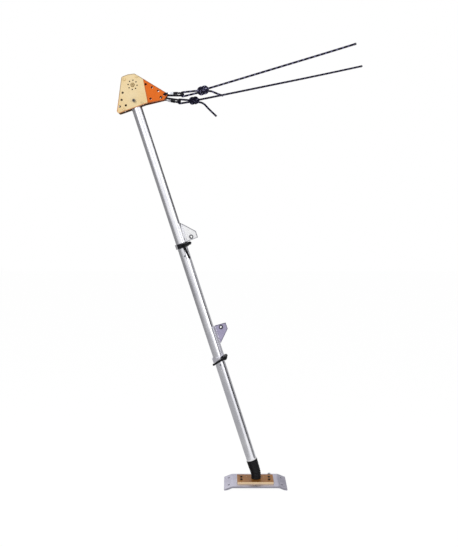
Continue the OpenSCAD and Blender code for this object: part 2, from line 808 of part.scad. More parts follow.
// Foot pivot: two yokes at right angles on one cross
base_top = foot_arch + foot_t + base_t;
ear_in = yoke_gap / 2;
ear_pin = cross_pin_r + running;
module yoke_ears(reach) {
    intersection() {
        cylinder(r = yoke_r, h = 4 * reach, center = true);
        difference() {
            union() {
                rotate([90, 0, 0]) cylinder(r = ear_r, h = 2 * yoke_r + 2, center = true);
                translate([-ear_r, -yoke_r - 1, 0]) cube([2 * ear_r, 2 * yoke_r + 2, reach]);
            }
            translate([-2 * ear_r, -ear_in, -2 * ear_r]) cube([4 * ear_r, yoke_gap, 2 * ear_r + reach - 8]);
            rotate([90, 0, 0]) cylinder(r = ear_pin, h = 3 * yoke_r, center = true);
        }
    }
}
module mast_yoke() {
    crotch = 34;
    color("#f4f4f6") on_pole(0) {
        yoke_ears(crotch);
        translate([0, 0, crotch - 1]) cylinder(r = 13, h = tube_start - yoke_flange_h - crotch + 1);
        translate([0, 0, tube_start - yoke_flange_h]) cylinder(r = tube_r + 1, h = yoke_flange_h);
        translate([0, 0, tube_start]) tube(tube_bore - slip, tube_bore - 5, plug_len);
    }
}
module post_yoke() {
    drop = pivot_h - base_top;
    color("#a4a6ac") translate([0, 0, pivot_h]) difference() {
        union() {
            rotate([180, 0, 90]) yoke_ears(drop);
            translate([0, 0, -drop]) cylinder(r = yoke_r - 3.5, h = 8);
        }
        translate([0, 0, -drop - past]) cylinder(r = post_bolt_r + slip, h = 8);
    }
}
post_bolt_r = 5;
module post_bolt() {
    color("#8a8c92") {
        translate([0, 0, foot_arch]) cylinder(r = post_bolt_r, h = foot_t + base_t + 6);
        translate([0, 0, foot_arch - 6]) cylinder(r = 9, h = 6);
    }
}
module cross() {
    block = yoke_gap - 2 * rest_gap;
    color("#7d8087") translate([0, 0, pivot_h]) {
        intersection() {
            cube([block, block, 18], center = true);
            sphere(r = 14.5);
        }
        for (turn = [0, 90]) rotate([90, 0, turn])
            cylinder(r = cross_pin_r, h = 2 * yoke_r - 3, center = true);
    }
}

// The ribbed boot stands upright on the base plate, bends at the pivot and ends square on the flange
boot_bend_r = 120;
boot_end = tube_start - yoke_flange_h;
bend_from = boot_bend_r * tan(lean / 2);
upright_run = pivot_h - bend_from - base_top;
bend_run = boot_bend_r * lean * PI / 180;
boot_len = upright_run + bend_run + boot_end - bend_from;
function boot_turn(s) = max(0, min(lean, (s - upright_run) / boot_bend_r * 180 / PI));
function bend_point(turn) =
    [-boot_bend_r * (1 - cos(turn)), 0, pivot_h - bend_from + boot_bend_r * sin(turn)];
function boot_centre(s) =
    s < upright_run ? [0, 0, base_top + s] :
    s < upright_run + bend_run ? bend_point(boot_turn(s)) :
    pole_point(0, 0, bend_from + s - upright_run - bend_run);
function boot_ring(s, groove) =
    let (turn = boot_turn(s), r = boot_bottom_r + (boot_top_r - boot_bottom_r) * s / boot_len - groove)
    [for (j = [0:15]) let (side = r * cos(j * 22.5))
        boot_centre(s) + [side * cos(turn), r * sin(j * 22.5), side * sin(turn)]];
module boot() {
    steps = 2 * boot_ribs;
    outer = [for (i = [0:steps]) boot_ring(boot_len * i / steps, i % 2 == 0 ? boot_groove : 0)];
    inner = [for (i = [steps:-2:0]) boot_ring(boot_len * i / steps, boot_groove + boot_wall)];
    color("#1c1c22") skin(concat(outer, inner), true);
}

module rounded_box(l, d, h, r) {
    x = l / 2;
    y = d / 2;
    linear_extrude(h) rounded_outline([[-x, -y], [x, -y], [x, y], [-x, y]], r);
}
module base_plate() {
    color("#b8763c") translate([plates_x, 0, foot_arch + foot_t]) difference() {
        rounded_box(base_len, base_depth, base_t, 6);
        for (x = [-1, 1]) for (y = [-1, 1]) translate([x * base_bolt_x, y * base_bolt_y, -past])
            cylinder(r = base_bolt_r + slip, h = base_t + 2 * past);
        for (x = [-50, 50]) translate([x, 25, -past]) cylinder(r = 3, h = base_t + 2 * past);
        translate([-plates_x, 0, -past]) cylinder(r = post_bolt_r + slip, h = base_t + 2 * past);
    }
}
// Side view of the foot plate: flat middle, bent and sloping ends
foot_top = foot_arch + foot_t;
module foot_end() {
    turn = [foot_flat / 2, foot_arch - foot_bend_r];
    inner_end = turn + foot_bend_r * [sin(foot_slope), cos(foot_slope)];
    run = inner_end[1] / sin(foot_slope);
    translate(turn) intersection() {
        difference() {
            circle(foot_bend_r + foot_t);
            circle(foot_bend_r);
        }
        polygon([[0, 0], [0, 100], [100 * tan(foot_slope), 100]]);
    }
    translate(inner_end) rotate(-foot_slope) square([run, foot_t]);
}
module foot_profile() {
    translate([-foot_flat / 2, foot_arch]) square([foot_flat, foot_t]);
    foot_end();
    mirror([1, 0]) foot_end();
}
module foot_plate() {
    pitch = foot_depth / tooth_count;
    color("#c8c6d2") translate([plates_x, 0, 0]) difference() {
        translate([0, foot_depth / 2, 0]) rotate([90, 0, 0]) linear_extrude(foot_depth) foot_profile();
        for (side = [-1, 1]) for (i = [0:tooth_count])
            translate([side * foot_flat / 2, (i - tooth_count / 2) * pitch, 0])
                rotate([90, 0, 90 * side]) translate([0, 0, 30]) linear_extrude(60)
                    polygon([[-pitch / 2 + 2, -1], [pitch / 2 - 2, -1], [0, tooth_h]]);
        for (x = [-1, 1]) for (y = [-1, 1]) {
            translate([x * stake_x, y * stake_y, 0]) cylinder(r = stake_r, h = 60);
            translate([x * base_bolt_x, y * base_bolt_y, 0]) cylinder(r = base_bolt_r + slip, h = 60);
        }
        translate([-plates_x, 0, 0]) cylinder(r = post_bolt_r + slip, h = 60);
        translate([0, -foot_depth / 2 + 20, 0]) cylinder(r = 4.5, h = 60);
    }
}
// Puts its children at the four bolts that hold the base plate to the foot plate
module at_foot_bolts() {
    for (x = [-1, 1]) for (y = [-1, 1])
        translate([plates_x + x * base_bolt_x, y * base_bolt_y, 0]) children();
}
module foot_bolts() {
    color("#2a2420") at_foot_bolts() {
        translate([0, 0, foot_arch - 9]) cylinder(r = base_bolt_r, h = foot_t + base_t + 9);
        translate([0, 0, base_top]) difference() {
            cylinder(r = base_bolt_r + 3, h = 5);
            translate([0, 0, 2]) cylinder(r = 3.4, h = 4, $fn = 6);
        }
    }
}
module foot_nuts() {
    color("#6d6f74") at_foot_bolts() translate([0, 0, foot_arch - 7]) hex_nut(base_bolt_r + slip, 13, 7);
}
module rear_stud() {
    color("#9fa0a4") translate([plates_x + base_len / 2 - 21, base_depth / 2 + 11, foot_top]) {
        cylinder(r = 8.5, h = base_t + 2);
        translate([0, 0, base_t + 2]) cylinder(r1 = 8.5, r2 = 5, h = 3);
    }
}

head_plate_front();
head_plate_rear();
head_spacers();
head_bolts();
head_nuts();
sheave();
sheave_bush();
axle_collars();
sheave_axle();
axle_nut();
leg_pin();
pin_button();
tube_upper();
tube_middle();
tube_lower();
coupler_upper();
coupler_lower();
snap_button_upper();
snap_button_lower();
snap_spring_upper();
snap_spring_lower();
top_cap();
bracket_upper();
eye_bush_upper();
clamp_liner_upper();
clamp_stud_upper();
clamp_nut_upper();
clamp_washer_upper();
clamp_lever_upper();
bracket_lower();
eye_bush_lower();
clamp_liner_lower();
clamp_stud_lower();
clamp_nut_lower();
clamp_washer_lower();
clamp_lever_lower();
carabiner_front();
gate_front();
gate_pin_front();
lock_sleeve_front();
carabiner_rear();
gate_rear();
gate_pin_rear();
lock_sleeve_rear();
rope_front();
knot_front();
tail_front();
rope_rear();
knot_rear();
tail_rear();
boot();
mast_yoke();
cross();
post_yoke();
post_bolt();
base_plate();
foot_plate();
foot_bolts();
foot_nuts();
rear_stud();
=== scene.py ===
import math
import bpy
from mathutils import Matrix, Vector


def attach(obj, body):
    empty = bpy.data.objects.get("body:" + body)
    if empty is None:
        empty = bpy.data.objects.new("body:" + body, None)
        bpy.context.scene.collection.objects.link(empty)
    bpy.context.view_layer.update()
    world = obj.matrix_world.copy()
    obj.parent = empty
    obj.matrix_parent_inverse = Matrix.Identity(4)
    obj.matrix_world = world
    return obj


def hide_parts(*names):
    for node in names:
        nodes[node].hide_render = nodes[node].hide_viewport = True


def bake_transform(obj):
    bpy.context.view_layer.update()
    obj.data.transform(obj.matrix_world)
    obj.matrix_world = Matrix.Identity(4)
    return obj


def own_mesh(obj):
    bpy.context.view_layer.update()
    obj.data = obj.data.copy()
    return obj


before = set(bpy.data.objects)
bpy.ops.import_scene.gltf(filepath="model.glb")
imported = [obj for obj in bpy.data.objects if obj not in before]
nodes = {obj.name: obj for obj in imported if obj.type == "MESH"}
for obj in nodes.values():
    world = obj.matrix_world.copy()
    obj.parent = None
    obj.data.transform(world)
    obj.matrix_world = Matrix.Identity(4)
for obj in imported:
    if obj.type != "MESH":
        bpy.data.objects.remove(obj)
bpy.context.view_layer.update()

print("frame loaded:", len(nodes), "nodes")


def srgb(text):
    # a written colour such as "f3d6a0" as the linear one that a shader takes
    parts = [int(text[i:i + 2], 16) / 255 for i in (0, 2, 4)]
    return tuple(c / 12.92 if c <= 0.04045 else ((c + 0.055) / 1.055) ** 2.4 for c in parts) + (1.0,)


def linked(name, data):
    made = bpy.data.objects.new(name, data)
    bpy.context.scene.collection.objects.link(made)
    return made


def addNode(tree, kind, inputs=None, **settings):
    node = tree.nodes.new(kind)
    for key, value in settings.items():
        setattr(node, key, value)
    for key, value in (inputs or {}).items():
        if isinstance(value, bpy.types.NodeSocket):
            tree.links.new(value, node.inputs[key])
        else:
            node.inputs[key].default_value = value
    return node


def math2(tree, operation, a, b=0.0, c=0.0):
    return addNode(tree, "ShaderNodeMath", {0: a, 1: b, 2: c}, operation=operation).outputs[0]


def remap(tree, value, fromLow, fromHigh, toLow, toHigh):
    return addNode(tree, "ShaderNodeMapRange", {"Value": value, "From Min": fromLow, "From Max": fromHigh,
                                                "To Min": toLow, "To Max": toHigh}).outputs[0]


def mixColour(tree, amount, a, b, blend="MIX"):
    return addNode(tree, "ShaderNodeMix", {0: amount, 6: a, 7: b},
                   data_type="RGBA", blend_type=blend).outputs[2]


def twoColours(tree, value, fromLow, fromHigh, low, high):
    # from one written colour to another while the value rises
    return mixColour(tree, remap(tree, value, fromLow, fromHigh, 0.0, 1.0), srgb(low), srgb(high))


pole = {
    "lean": math.radians(17.8),
    "pivot": 0.072,             # height of the foot pivot
    "headEdge": 2.236,          # lower edge of the head, along the pole
    "bendAcross": 0.069,        # bend line of the wings
    "bendTilt": math.radians(7),
    # outline of a head plate, anticlockwise: across the pole and up from the head's lower edge
    "headOutline": [(-0.118, -0.004), (0.060, 0.002), (0.162, -0.009), (0.196, 0.016), (0.050, 0.179),
                    (0.012, 0.186), (-0.026, 0.184)],
    "headHollow": 1,            # the corner of the outline that turns inwards
}


def onPole(u, y, s):
    # u across the pole, s along it from the foot pivot
    c, d = math.cos(pole["lean"]), math.sin(pole["lean"])
    return Vector((u * c - s * d, y, pole["pivot"] + u * d + s * c))


def smoothPath(points, perSpan):
    # a curve that passes through every point
    p = [points[0] * 2 - points[1]] + points + [points[-1] * 2 - points[-2]]
    out = []
    for i in range(1, len(p) - 2):
        for k in range(perSpan):
            t = k / perSpan
            out.append(0.5 * (2 * p[i] + (p[i + 1] - p[i - 1]) * t
                              + (2 * p[i - 1] - 5 * p[i] + 4 * p[i + 1] - p[i + 2]) * t * t
                              + (3 * p[i] - p[i - 1] - 3 * p[i + 1] + p[i + 2]) * t ** 3))
    return out + [points[-1]]


view = {
    "lens": 50.94,                      # mm, so that the pole is as tall as in the photograph
    "place": (-0.160, -4.463, 1.647),   # a standing photographer, in front of the foot's centre
    "tilt": math.radians(85),           # 5 degrees below the horizon, as the foot plate's top shows
}
cameraData = bpy.data.cameras.new("camera")
cameraData.lens = view["lens"]
camera = linked("camera", cameraData)
camera.location = view["place"]
camera.rotation_euler = (view["tilt"], 0, 0)
bpy.context.scene.camera = camera
bpy.context.scene.view_settings.view_transform = "Standard"
print("camera placed")


# A look holds one material's colours and numbers: sizes are in metres and turns in degrees, rough is its
# lowest and highest roughness, and depth is the strength of its relief.


def newMaterial(name):
    material = bpy.data.materials.new(name)
    material.use_nodes = True
    tree = material.node_tree
    shader = tree.nodes["Principled BSDF"]
    return material, tree, shader


def alongPole(tree):
    # object coordinates turned so that z runs along the pole from its pivot
    place = addNode(tree, "ShaderNodeTexCoord").outputs["Object"]
    low = addNode(tree, "ShaderNodeVectorMath", {0: place, 1: (0, 0, pole["pivot"])}, operation="SUBTRACT")
    return addNode(tree, "ShaderNodeMapping", {"Vector": low.outputs[0], "Rotation": (0, pole["lean"], 0)},
                   vector_type="POINT").outputs[0]


def stretched(tree, place, scale):
    return addNode(tree, "ShaderNodeMapping", {"Vector": place, "Scale": scale}).outputs[0]


def noise(tree, place, scale, detail=4.0, rough=0.55):
    return addNode(tree, "ShaderNodeTexNoise", {"Vector": place, "Scale": scale, "Detail": detail,
                                                "Roughness": rough}).outputs["Fac"]


def brokenEdge(tree, radius, samples, fromLow, fromHigh):
    # the normal as if every edge were broken by this radius, and 1 where it turns away from the flat
    bevel = addNode(tree, "ShaderNodeBevel", {"Radius": radius}, samples=samples).outputs[0]
    flat = addNode(tree, "ShaderNodeNewGeometry").outputs["Normal"]
    same = addNode(tree, "ShaderNodeVectorMath", {0: bevel, 1: flat}, operation="DOT_PRODUCT")
    return bevel, remap(tree, same.outputs["Value"], fromLow, fromHigh, 1.0, 0.0)


def softEdge(tree, radius):
    # a rounded edge, and the mask of its rounding
    return brokenEdge(tree, radius, 6, 0.86, 0.995)


def edgeBand(tree, radius):
    # 1 within a band of this width along every edge, 0 elsewhere
    return brokenEdge(tree, radius, 8, 0.955, 0.9985)[1]


def outlineBand(tree, across, along, corners, hollow, width):
    # 1 within this width of a plate's outline, whose corners go anticlockwise and turn inwards at one of them
    sides = []
    for (x0, y0), (x1, y1) in zip(corners, corners[1:] + corners[:1]):
        long = math.hypot(x1 - x0, y1 - y0)
        nx, ny = -(y1 - y0) / long, (x1 - x0) / long
        rest = math2(tree, "MULTIPLY_ADD", along, ny, -(nx * x0 + ny * y0))
        sides.append(math2(tree, "MULTIPLY_ADD", across, nx, rest))
    nearest = math2(tree, "MAXIMUM", sides[hollow - 1], sides[hollow])
    for i, side in enumerate(sides):
        if i not in (hollow - 1, hollow):
            nearest = math2(tree, "MINIMUM", nearest, side)
    return remap(tree, nearest, width * 0.7, width * 1.1, 1.0, 0.0)


def objectFacing(tree):
    # the parts of the surface's own direction, which stay with the piece when it moves
    return addNode(tree, "ShaderNodeSeparateXYZ", {
        0: addNode(tree, "ShaderNodeTexCoord").outputs["Normal"]}).outputs


def finish(tree, shader, height, strength, distance, normal=None):
    # bump of this depth over the rounded edges
    inputs = {"Height": height, "Strength": strength, "Distance": distance}
    if normal is not None:
        inputs["Normal"] = normal
    bump = addNode(tree, "ShaderNodeBump", inputs)
    tree.links.new(bump.outputs[0], shader.inputs["Normal"])


def anodisedHead(name, look):
    # a cream gold painted highlight on the flat, deep orange on the bent wing, painted shade in dull brown on
    # the faces that look inwards
    material, tree, shader = newMaterial(name)
    place = alongPole(tree)
    part = addNode(tree, "ShaderNodeSeparateXYZ", {0: place})
    across, along = part.outputs[0], math2(tree, "SUBTRACT", part.outputs[2], pole["headEdge"])
    # distance past the bend line
    past = math2(tree, "SUBTRACT",
                 math2(tree, "MULTIPLY", math2(tree, "SUBTRACT", across, pole["bendAcross"]),
                       math.cos(pole["bendTilt"])),
                 math2(tree, "MULTIPLY", along, math.sin(pole["bendTilt"])))
    wing = remap(tree, past, -look["bendFade"], look["bendFade"], 0.0, 1.0)
    bevel = softEdge(tree, 0.0010)[0]
    edge = outlineBand(tree, across, along, pole["headOutline"], pole["headHollow"], look["rimWidth"])
    cloud = noise(tree, place, 9.0, 3.0)
    grain = noise(tree, stretched(tree, place, (60, 60, 900)), 1.0, 3.0)
    # the flat's cream, with its clouds and its warmer left colour, is a painted highlight
    flat = twoColours(tree, cloud, 0.35, 0.7, look["flat"], look["flatWarm"])
    flat = mixColour(tree, remap(tree, across, *look["leftFade"], 0.0, 1.0), flat, srgb(look["flatLeft"]))
    # the rim is the plate's own orange low down, where the painted highlight stops, and a painted shadow
    # higher up
    rim = twoColours(tree, along, *look["rimFade"], look["rimLow"], look["rimShadowHigh"])
    flat = mixColour(tree, math2(tree, "MULTIPLY", edge, 0.9), flat, rim)
    deep = twoColours(tree, cloud, 0.3, 0.7, look["wing"], look["wingDark"])
    # painted shade along the wing's edges
    deep = mixColour(tree, math2(tree, "MULTIPLY", edge, 0.85), deep, srgb(look["wingEdgeShade"]))
    # the painted shade line beside the bend
    fromLine = math2(tree, "ABSOLUTE", math2(tree, "SUBTRACT", past, look["foldShadeLine"]))
    foldShade = remap(tree, fromLine, 0.0, look["foldShadeWidth"], 0.7, 0.0)
    deep = mixColour(tree, foldShade, deep, srgb(look["wingEdgeShade"]))
    outer = mixColour(tree, wing, flat, deep)
    # a face looks inwards where its direction points back to the middle of the head
    inside = math2(tree, "MULTIPLY", math2(tree, "MULTIPLY", objectFacing(tree)[1], part.outputs[1]), -1.0)
    shade = remap(tree, inside, *look["insideFade"], 0.0, 1.0)
    # the faces that look inwards take a painted shade in dark brown
    inner = mixColour(tree, wing, srgb(look["inside"]), srgb(look["insideWing"]))
    tree.links.new(mixColour(tree, shade, outer, inner), shader.inputs["Base Color"])
    tree.links.new(remap(tree, grain, 0.2, 0.8, *look["rough"]), shader.inputs["Roughness"])
    shader.inputs["Metallic"].default_value = 0.0
    shader.inputs["Specular IOR Level"].default_value = 0.3
    shader.inputs["Coat Weight"].default_value = 0.06
    shader.inputs["Coat Roughness"].default_value = 0.2
    finish(tree, shader, grain, 0.12, 0.0004, bevel)
    return material


def drawnAluminium(name, look):
    # drawn tube or rolled plate: fine lines, dull patches, worn edges on a tube, and on a plate its edges and
    # sides in a painted highlight or painted shade
    material, tree, shader = newMaterial(name)
    place = alongPole(tree)
    lines = noise(tree, stretched(tree, place, look["lines"]), 1.0, 4.0, 0.6)
    cloud = noise(tree, place, 7.0, 4.0)
    bevel = softEdge(tree, 0.0010)[0]
    edge = edgeBand(tree, look.get("edgeSize", 0.0010))
    tone = twoColours(tree, cloud, 0.3, 0.7, look["bright"], look["dull"])
    # pale edges, which are wear on a tube and a painted highlight or painted shade on a plate
    tone = mixColour(tree, remap(tree, edge, 0.2, 0.9, 0.0, 0.6), tone, srgb(look.get("edge", "fafafa")))
    # the upright sides of a plate take a painted highlight or painted shade
    if "sides" in look:
        upright = remap(tree, math2(tree, "ABSOLUTE", objectFacing(tree)[2]), 0.2, 0.5, 1.0, 0.0)
        tone = mixColour(tree, upright, tone, srgb(look["sides"]))
    tree.links.new(tone, shader.inputs["Base Color"])
    shader.inputs["Metallic"].default_value = look.get("metal", 1.0)
    low, high = look["rough"]
    tree.links.new(remap(tree, lines, 0.25, 0.75, low, high), shader.inputs["Roughness"])
    finish(tree, shader, lines, 0.25, 0.0002, bevel)
    return material


clamp = {
    "bandTo": (0.0386, 0.0394),     # distance from the pole where the polished band gives way to paint
    "blackTo": 0.0141,              # top of the black part of the collar
    "earsTo": 0.0115,               # top of the black ears that hold the stud
    "earsFrom": math.radians(110),  # turn from the fin to the ears
    "outline": 0.0090,              # width of the painted shade along the fin's edges
}


def clampCasting(name, look):
    # cast bracket: polished band that mirrors like the tube, painted fin with painted shade along its edges,
    # black clamp end
    material, tree, shader = newMaterial(name)
    place = alongPole(tree)
    pitted = noise(tree, place, 420.0, 3.0)
    cloud = noise(tree, place, 16.0, 4.0)
    bevel = softEdge(tree, 0.0012)[0]
    edge = edgeBand(tree, clamp["outline"])
    facing = addNode(tree, "ShaderNodeMapping", {
        "Vector": place, "Location": (0, 0, -look["station"]),
        "Rotation": (0, 0, clamp["earsFrom"] - math.radians(look["turn"]))}, vector_type="POINT").outputs[0]
    part = addNode(tree, "ShaderNodeSeparateXYZ", {0: facing})
    across = math2(tree, "SQRT", math2(tree, "ADD", math2(tree, "POWER", part.outputs[0], 2.0),
                                       math2(tree, "POWER", part.outputs[1], 2.0)))
    fin = remap(tree, across, *clamp["bandTo"], 0.0, 1.0)
    paint = twoColours(tree, cloud, 0.3, 0.7, look["bright"], look["dull"])
    # painted shade along the fin's edges
    paint = mixColour(tree, remap(tree, edge, 0.1, 0.6, 0.0, 0.9), paint, srgb(look["edge"]))
    tone = mixColour(tree, fin, srgb(look["band"]), paint)
    turned = math2(tree, "ARCTAN2", part.outputs[1], part.outputs[0])
    near = math2(tree, "LESS_THAN", math2(tree, "ABSOLUTE", turned), math.radians(look["blackTurn"]))
    low = math2(tree, "LESS_THAN", part.outputs[2], clamp["blackTo"])
    ears = math2(tree, "MULTIPLY", fin, math2(tree, "LESS_THAN", part.outputs[2], clamp["earsTo"]))
    black = math2(tree, "MAXIMUM", ears, math2(tree, "MULTIPLY", near, low))
    tree.links.new(mixColour(tree, black, tone, srgb(look["black"])), shader.inputs["Base Color"])
    bright = math2(tree, "MULTIPLY", math2(tree, "SUBTRACT", 1.0, fin), math2(tree, "SUBTRACT", 1.0, black))
    tree.links.new(remap(tree, bright, 0.0, 1.0, 0.05, 1.0), shader.inputs["Metallic"])
    tree.links.new(remap(tree, bright, 0.0, 1.0, 0.5, 0.26), shader.inputs["Roughness"])
    shader.inputs["Specular IOR Level"].default_value = 0.25
    finish(tree, shader, pitted, 0.12, 0.0002, bevel)
    return material


def mouldedPlastic(name, look):
    # moulded plastic or rubber: the mould's fine grain and a few paler scuffs
    material, tree, shader = newMaterial(name)
    place = addNode(tree, "ShaderNodeTexCoord").outputs["Object"]
    grain = noise(tree, place, look.get("grain", 1400.0), 2.0)
    scuff = noise(tree, place, 38.0, 6.0, 0.7)
    bevel, edge = softEdge(tree, 0.0008)
    # a scuff takes at most 0.3 of the worn colour, so it stays faint
    scuffShare = remap(tree, scuff, 0.56, 0.74, 0.0, 0.3)
    tone = mixColour(tree, scuffShare, srgb(look["colour"]), srgb(look["worn"]))
    tone = mixColour(tree, remap(tree, edge, 0.3, 1.0, 0.0, 0.35), tone, srgb(look["worn"]))
    tree.links.new(tone, shader.inputs["Base Color"])
    low, high = look["rough"]
    tree.links.new(remap(tree, scuff, 0.3, 0.7, low, high), shader.inputs["Roughness"])
    shader.inputs["Specular IOR Level"].default_value = look.get("specular", 0.5)
    finish(tree, shader, grain, look.get("depth", 0.3), 0.00025, bevel)
    return material


def turnedMetal(name, look):
    # bolts, pins and nuts: turned, plated or dyed metal with a faint mottle
    material, tree, shader = newMaterial(name)
    place = addNode(tree, "ShaderNodeTexCoord").outputs["Object"]
    mottle = noise(tree, place, 160.0, 5.0, 0.65)
    bevel, edge = softEdge(tree, 0.0006)
    tone = twoColours(tree, mottle, 0.35, 0.7, look["bright"], look["dull"])
    tone = mixColour(tree, remap(tree, edge, 0.2, 0.9, 0.0, 0.5), tone, srgb(look["edge"]))
    if "silverUpTo" in look:
        x = addNode(tree, "ShaderNodeSeparateXYZ", {0: place}).outputs[0]
        tone = mixColour(tree, math2(tree, "LESS_THAN", x, look["silverUpTo"]), tone, srgb(look["silver"]))
    tree.links.new(tone, shader.inputs["Base Color"])
    shader.inputs["Metallic"].default_value = look.get("metal", 1.0)
    shader.inputs["Specular IOR Level"].default_value = look.get("specular", 0.5)
    low, high = look["rough"]
    tree.links.new(remap(tree, mottle, 0.3, 0.7, low, high), shader.inputs["Roughness"])
    finish(tree, shader, mottle, 0.08, 0.0002, bevel)
    return material


def turnedAround(tree, part):
    # coordinates that wrap round the rope without a seam; the yarns' grain is in truth under 0.1 mm wide,
    # and is drawn 0.4 mm wide and 1 mm long to show
    return addNode(tree, "ShaderNodeCombineXYZ", {
        0: math2(tree, "MULTIPLY", part.outputs[0], 14.0),
        1: math2(tree, "MULTIPLY", part.outputs[1], 14.0),
        2: math2(tree, "MULTIPLY", part.outputs[2], 900.0)}).outputs[0]


def braidedRope(name, look):
    # two families of strands wind round the rope; a few carry the pale tracer yarn
    material, tree, shader = newMaterial(name)
    turn = addNode(tree, "ShaderNodeAttribute", attribute_name="ropeTurn").outputs["Vector"]
    part = addNode(tree, "ShaderNodeSeparateXYZ", {0: turn})
    angle = math2(tree, "DIVIDE", math2(tree, "ARCTAN2", part.outputs[1], part.outputs[0]), 2 * math.pi)
    run = math2(tree, "DIVIDE", part.outputs[2], look["pitch"])
    strands = look["strands"]
    right = math2(tree, "MULTIPLY", math2(tree, "ADD", angle, run), strands)
    left = math2(tree, "MULTIPLY", math2(tree, "SUBTRACT", angle, run), strands)
    rightIndex, leftIndex = math2(tree, "FLOOR", right), math2(tree, "FLOOR", left)
    over = math2(tree, "FLOORED_MODULO", math2(tree, "ADD", rightIndex, leftIndex), 2.0)
    rightNumber = math2(tree, "FLOORED_MODULO", rightIndex, strands)
    leftNumber = math2(tree, "FLOORED_MODULO", leftIndex, strands)
    rightPale = math2(tree, "LESS_THAN", rightNumber, look["paleRight"])
    leftPale = math2(tree, "LESS_THAN", leftNumber, look["paleLeft"])
    pale = math2(tree, "ADD", math2(tree, "MULTIPLY", rightPale, math2(tree, "SUBTRACT", 1.0, over)),
                 math2(tree, "MULTIPLY", leftPale, over))
    fibre = noise(tree, turnedAround(tree, part), 1.0, 3.0, 0.6)
    dark = twoColours(tree, fibre, 0.3, 0.7, look["dark"], look["darkHigh"])
    light = twoColours(tree, fibre, 0.3, 0.7, look["pale"], look["paleHigh"])
    tree.links.new(mixColour(tree, pale, dark, light), shader.inputs["Base Color"])
    shader.inputs["Roughness"].default_value = 0.8
    shader.inputs["Specular IOR Level"].default_value = 0.12
    shader.inputs["Sheen Weight"].default_value = 0.06
    shader.inputs["Sheen Roughness"].default_value = 0.5
    finish(tree, shader, fibre, 0.5, 0.0003)
    return material


# Pattern sizes are in cycles per metre along x, y and the pole, so 420 is 2.4 mm. The real lines and grain
# are mostly under 0.2 mm, too fine for the render, so they are drawn some 5 to 20 times as coarse.

# anodised aluminium plate, dyed after a light brushing: a satin colour with soft clouds, a cream painted
# highlight on the flat, and rims that turn to a painted shadow higher up
headAnodised = anodisedHead("orangeAnodisedPaintedHighlight", {
    "flat": "f5deae", "flatWarm": "f1d39a", "flatLeft": "ecc98c", "rimLow": "cf7f38", "rimShadowHigh": "a08358",
    "wing": "f07408", "wingDark": "e46602", "wingEdgeShade": "9a4e18", "inside": "4a3718", "insideWing": "6a2c06",
    "rimWidth": 0.0042, "foldShadeWidth": 0.004,
    "foldShadeLine": 0.002,              # from the bend to the painted shade line beside it
    "bendFade": 0.0012,             # half the width over which the wing's colour takes over
    "leftFade": (-0.05, -0.13),     # across the pole, where the flat turns to its left colour
    "rimFade": (0.02, 0.12),        # along the pole, from the rim's own orange to its painted shadow colour
    "insideFade": (0.012, 0.016),   # from the middle of the head to a face that looks back at it, which takes the painted shade
    "rough": (0.36, 0.5)})
# bare drawn aluminium tube: long mirror streaks between bright and dark, broken up by drawing lines
tubeAluminium = drawnAluminium("drawnTubeAluminium", {
    "lines": (420, 420, 3), "bright": "f2f2f6", "dull": "dcdce4", "rough": (0.2, 0.34)})
# the same alloy turned on a lathe: fine rings round the sleeve, a little duller
couplerAluminium = drawnAluminium("machinedSleeveAluminium", {
    "lines": (40, 40, 900), "bright": "dcdde2", "dull": "c2c4cc", "rough": (0.28, 0.42)})
# cast aluminium, polished on the collar and enamelled on the fin: a mirror band beside flat pale paint, here
# in painted light, white
upperCast = clampCasting("bracketPaintLit", {
    "bright": "ffffff", "dull": "fafafd", "edge": "84848f", "band": "f0f0f4", "black": "0b0c12",
    "station": 1.414, "turn": 80, "blackTurn": 100})
# the same casting in painted shade: a lavender grey fin and a slightly darker band
lowerCast = clampCasting("bracketPaintShaded", {
    "bright": "b7b1cc", "dull": "a39dba", "edge": "4f4a62", "band": "e6e5ee", "black": "0b0c12",
    "station": 0.721, "turn": 105, "blackTurn": 0})
# rolled aluminium plate, clear anodised: a lilac grey with short rolling lines, and painted shade on its
# sides and along its edges
footAluminium = drawnAluminium("footPlateAluminium", {
    "lines": (900, 20, 900), "bright": "cfccdc", "dull": "b4b1c3", "edge": "8a8894", "edgeSize": 0.0030,
    "sides": "8e8c97", "rough": (0.3, 0.44), "metal": 0.9})
# aluminium plate, bronze anodised and then sawn: a dull brown top, and a pale painted highlight on its sides
# and edges
basePlate = drawnAluminium("bronzeAnodisedBase", {
    "lines": (600, 30, 600), "bright": "b8792f", "dull": "9a6124", "edge": "d9a768", "edgeSize": 0.0040,
    "sides": "f7dcae", "rough": (0.4, 0.55), "metal": 0.35})
# steel under white powder coat: a clean, slightly glossy white ring
yokeWhite = drawnAluminium("whiteYokeBand", {
    "lines": (400, 400, 400), "bright": "f8f8fa", "dull": "eeeef2", "rough": (0.3, 0.45), "metal": 0.2})
# polished aluminium: the brightest and sharpest glint on the carabiner
gateSilver = drawnAluminium("polishedGateAluminium", {
    "lines": (700, 700, 700), "bright": "e9ecf2", "dull": "cfd4dc", "rough": (0.16, 0.28)})
# steel bolt in the cream of the flat's painted highlight: hardly stands out from it, apart from a pale worn
# edge
creamSteel = turnedMetal("creamHighlightSteel", {
    "bright": "efd9a8", "dull": "e2c890", "edge": "f8e8c4", "rough": (0.4, 0.55), "metal": 0.1})
# turned steel, coloured brown grey: a darker disc in the middle of the ring of holes
axleSteel = turnedMetal("brownGreyAxleSteel", {
    "bright": "a58f63", "dull": "7c6a48", "edge": "e8d8b4", "rough": (0.3, 0.45), "metal": 0.5})
# zinc plated steel: bright, faintly mottled
zincSteel = turnedMetal("zincPlatedSteel", {
    "bright": "d3d4d8", "dull": "b4b5ba", "edge": "f0f0f2", "rough": (0.26, 0.4)})
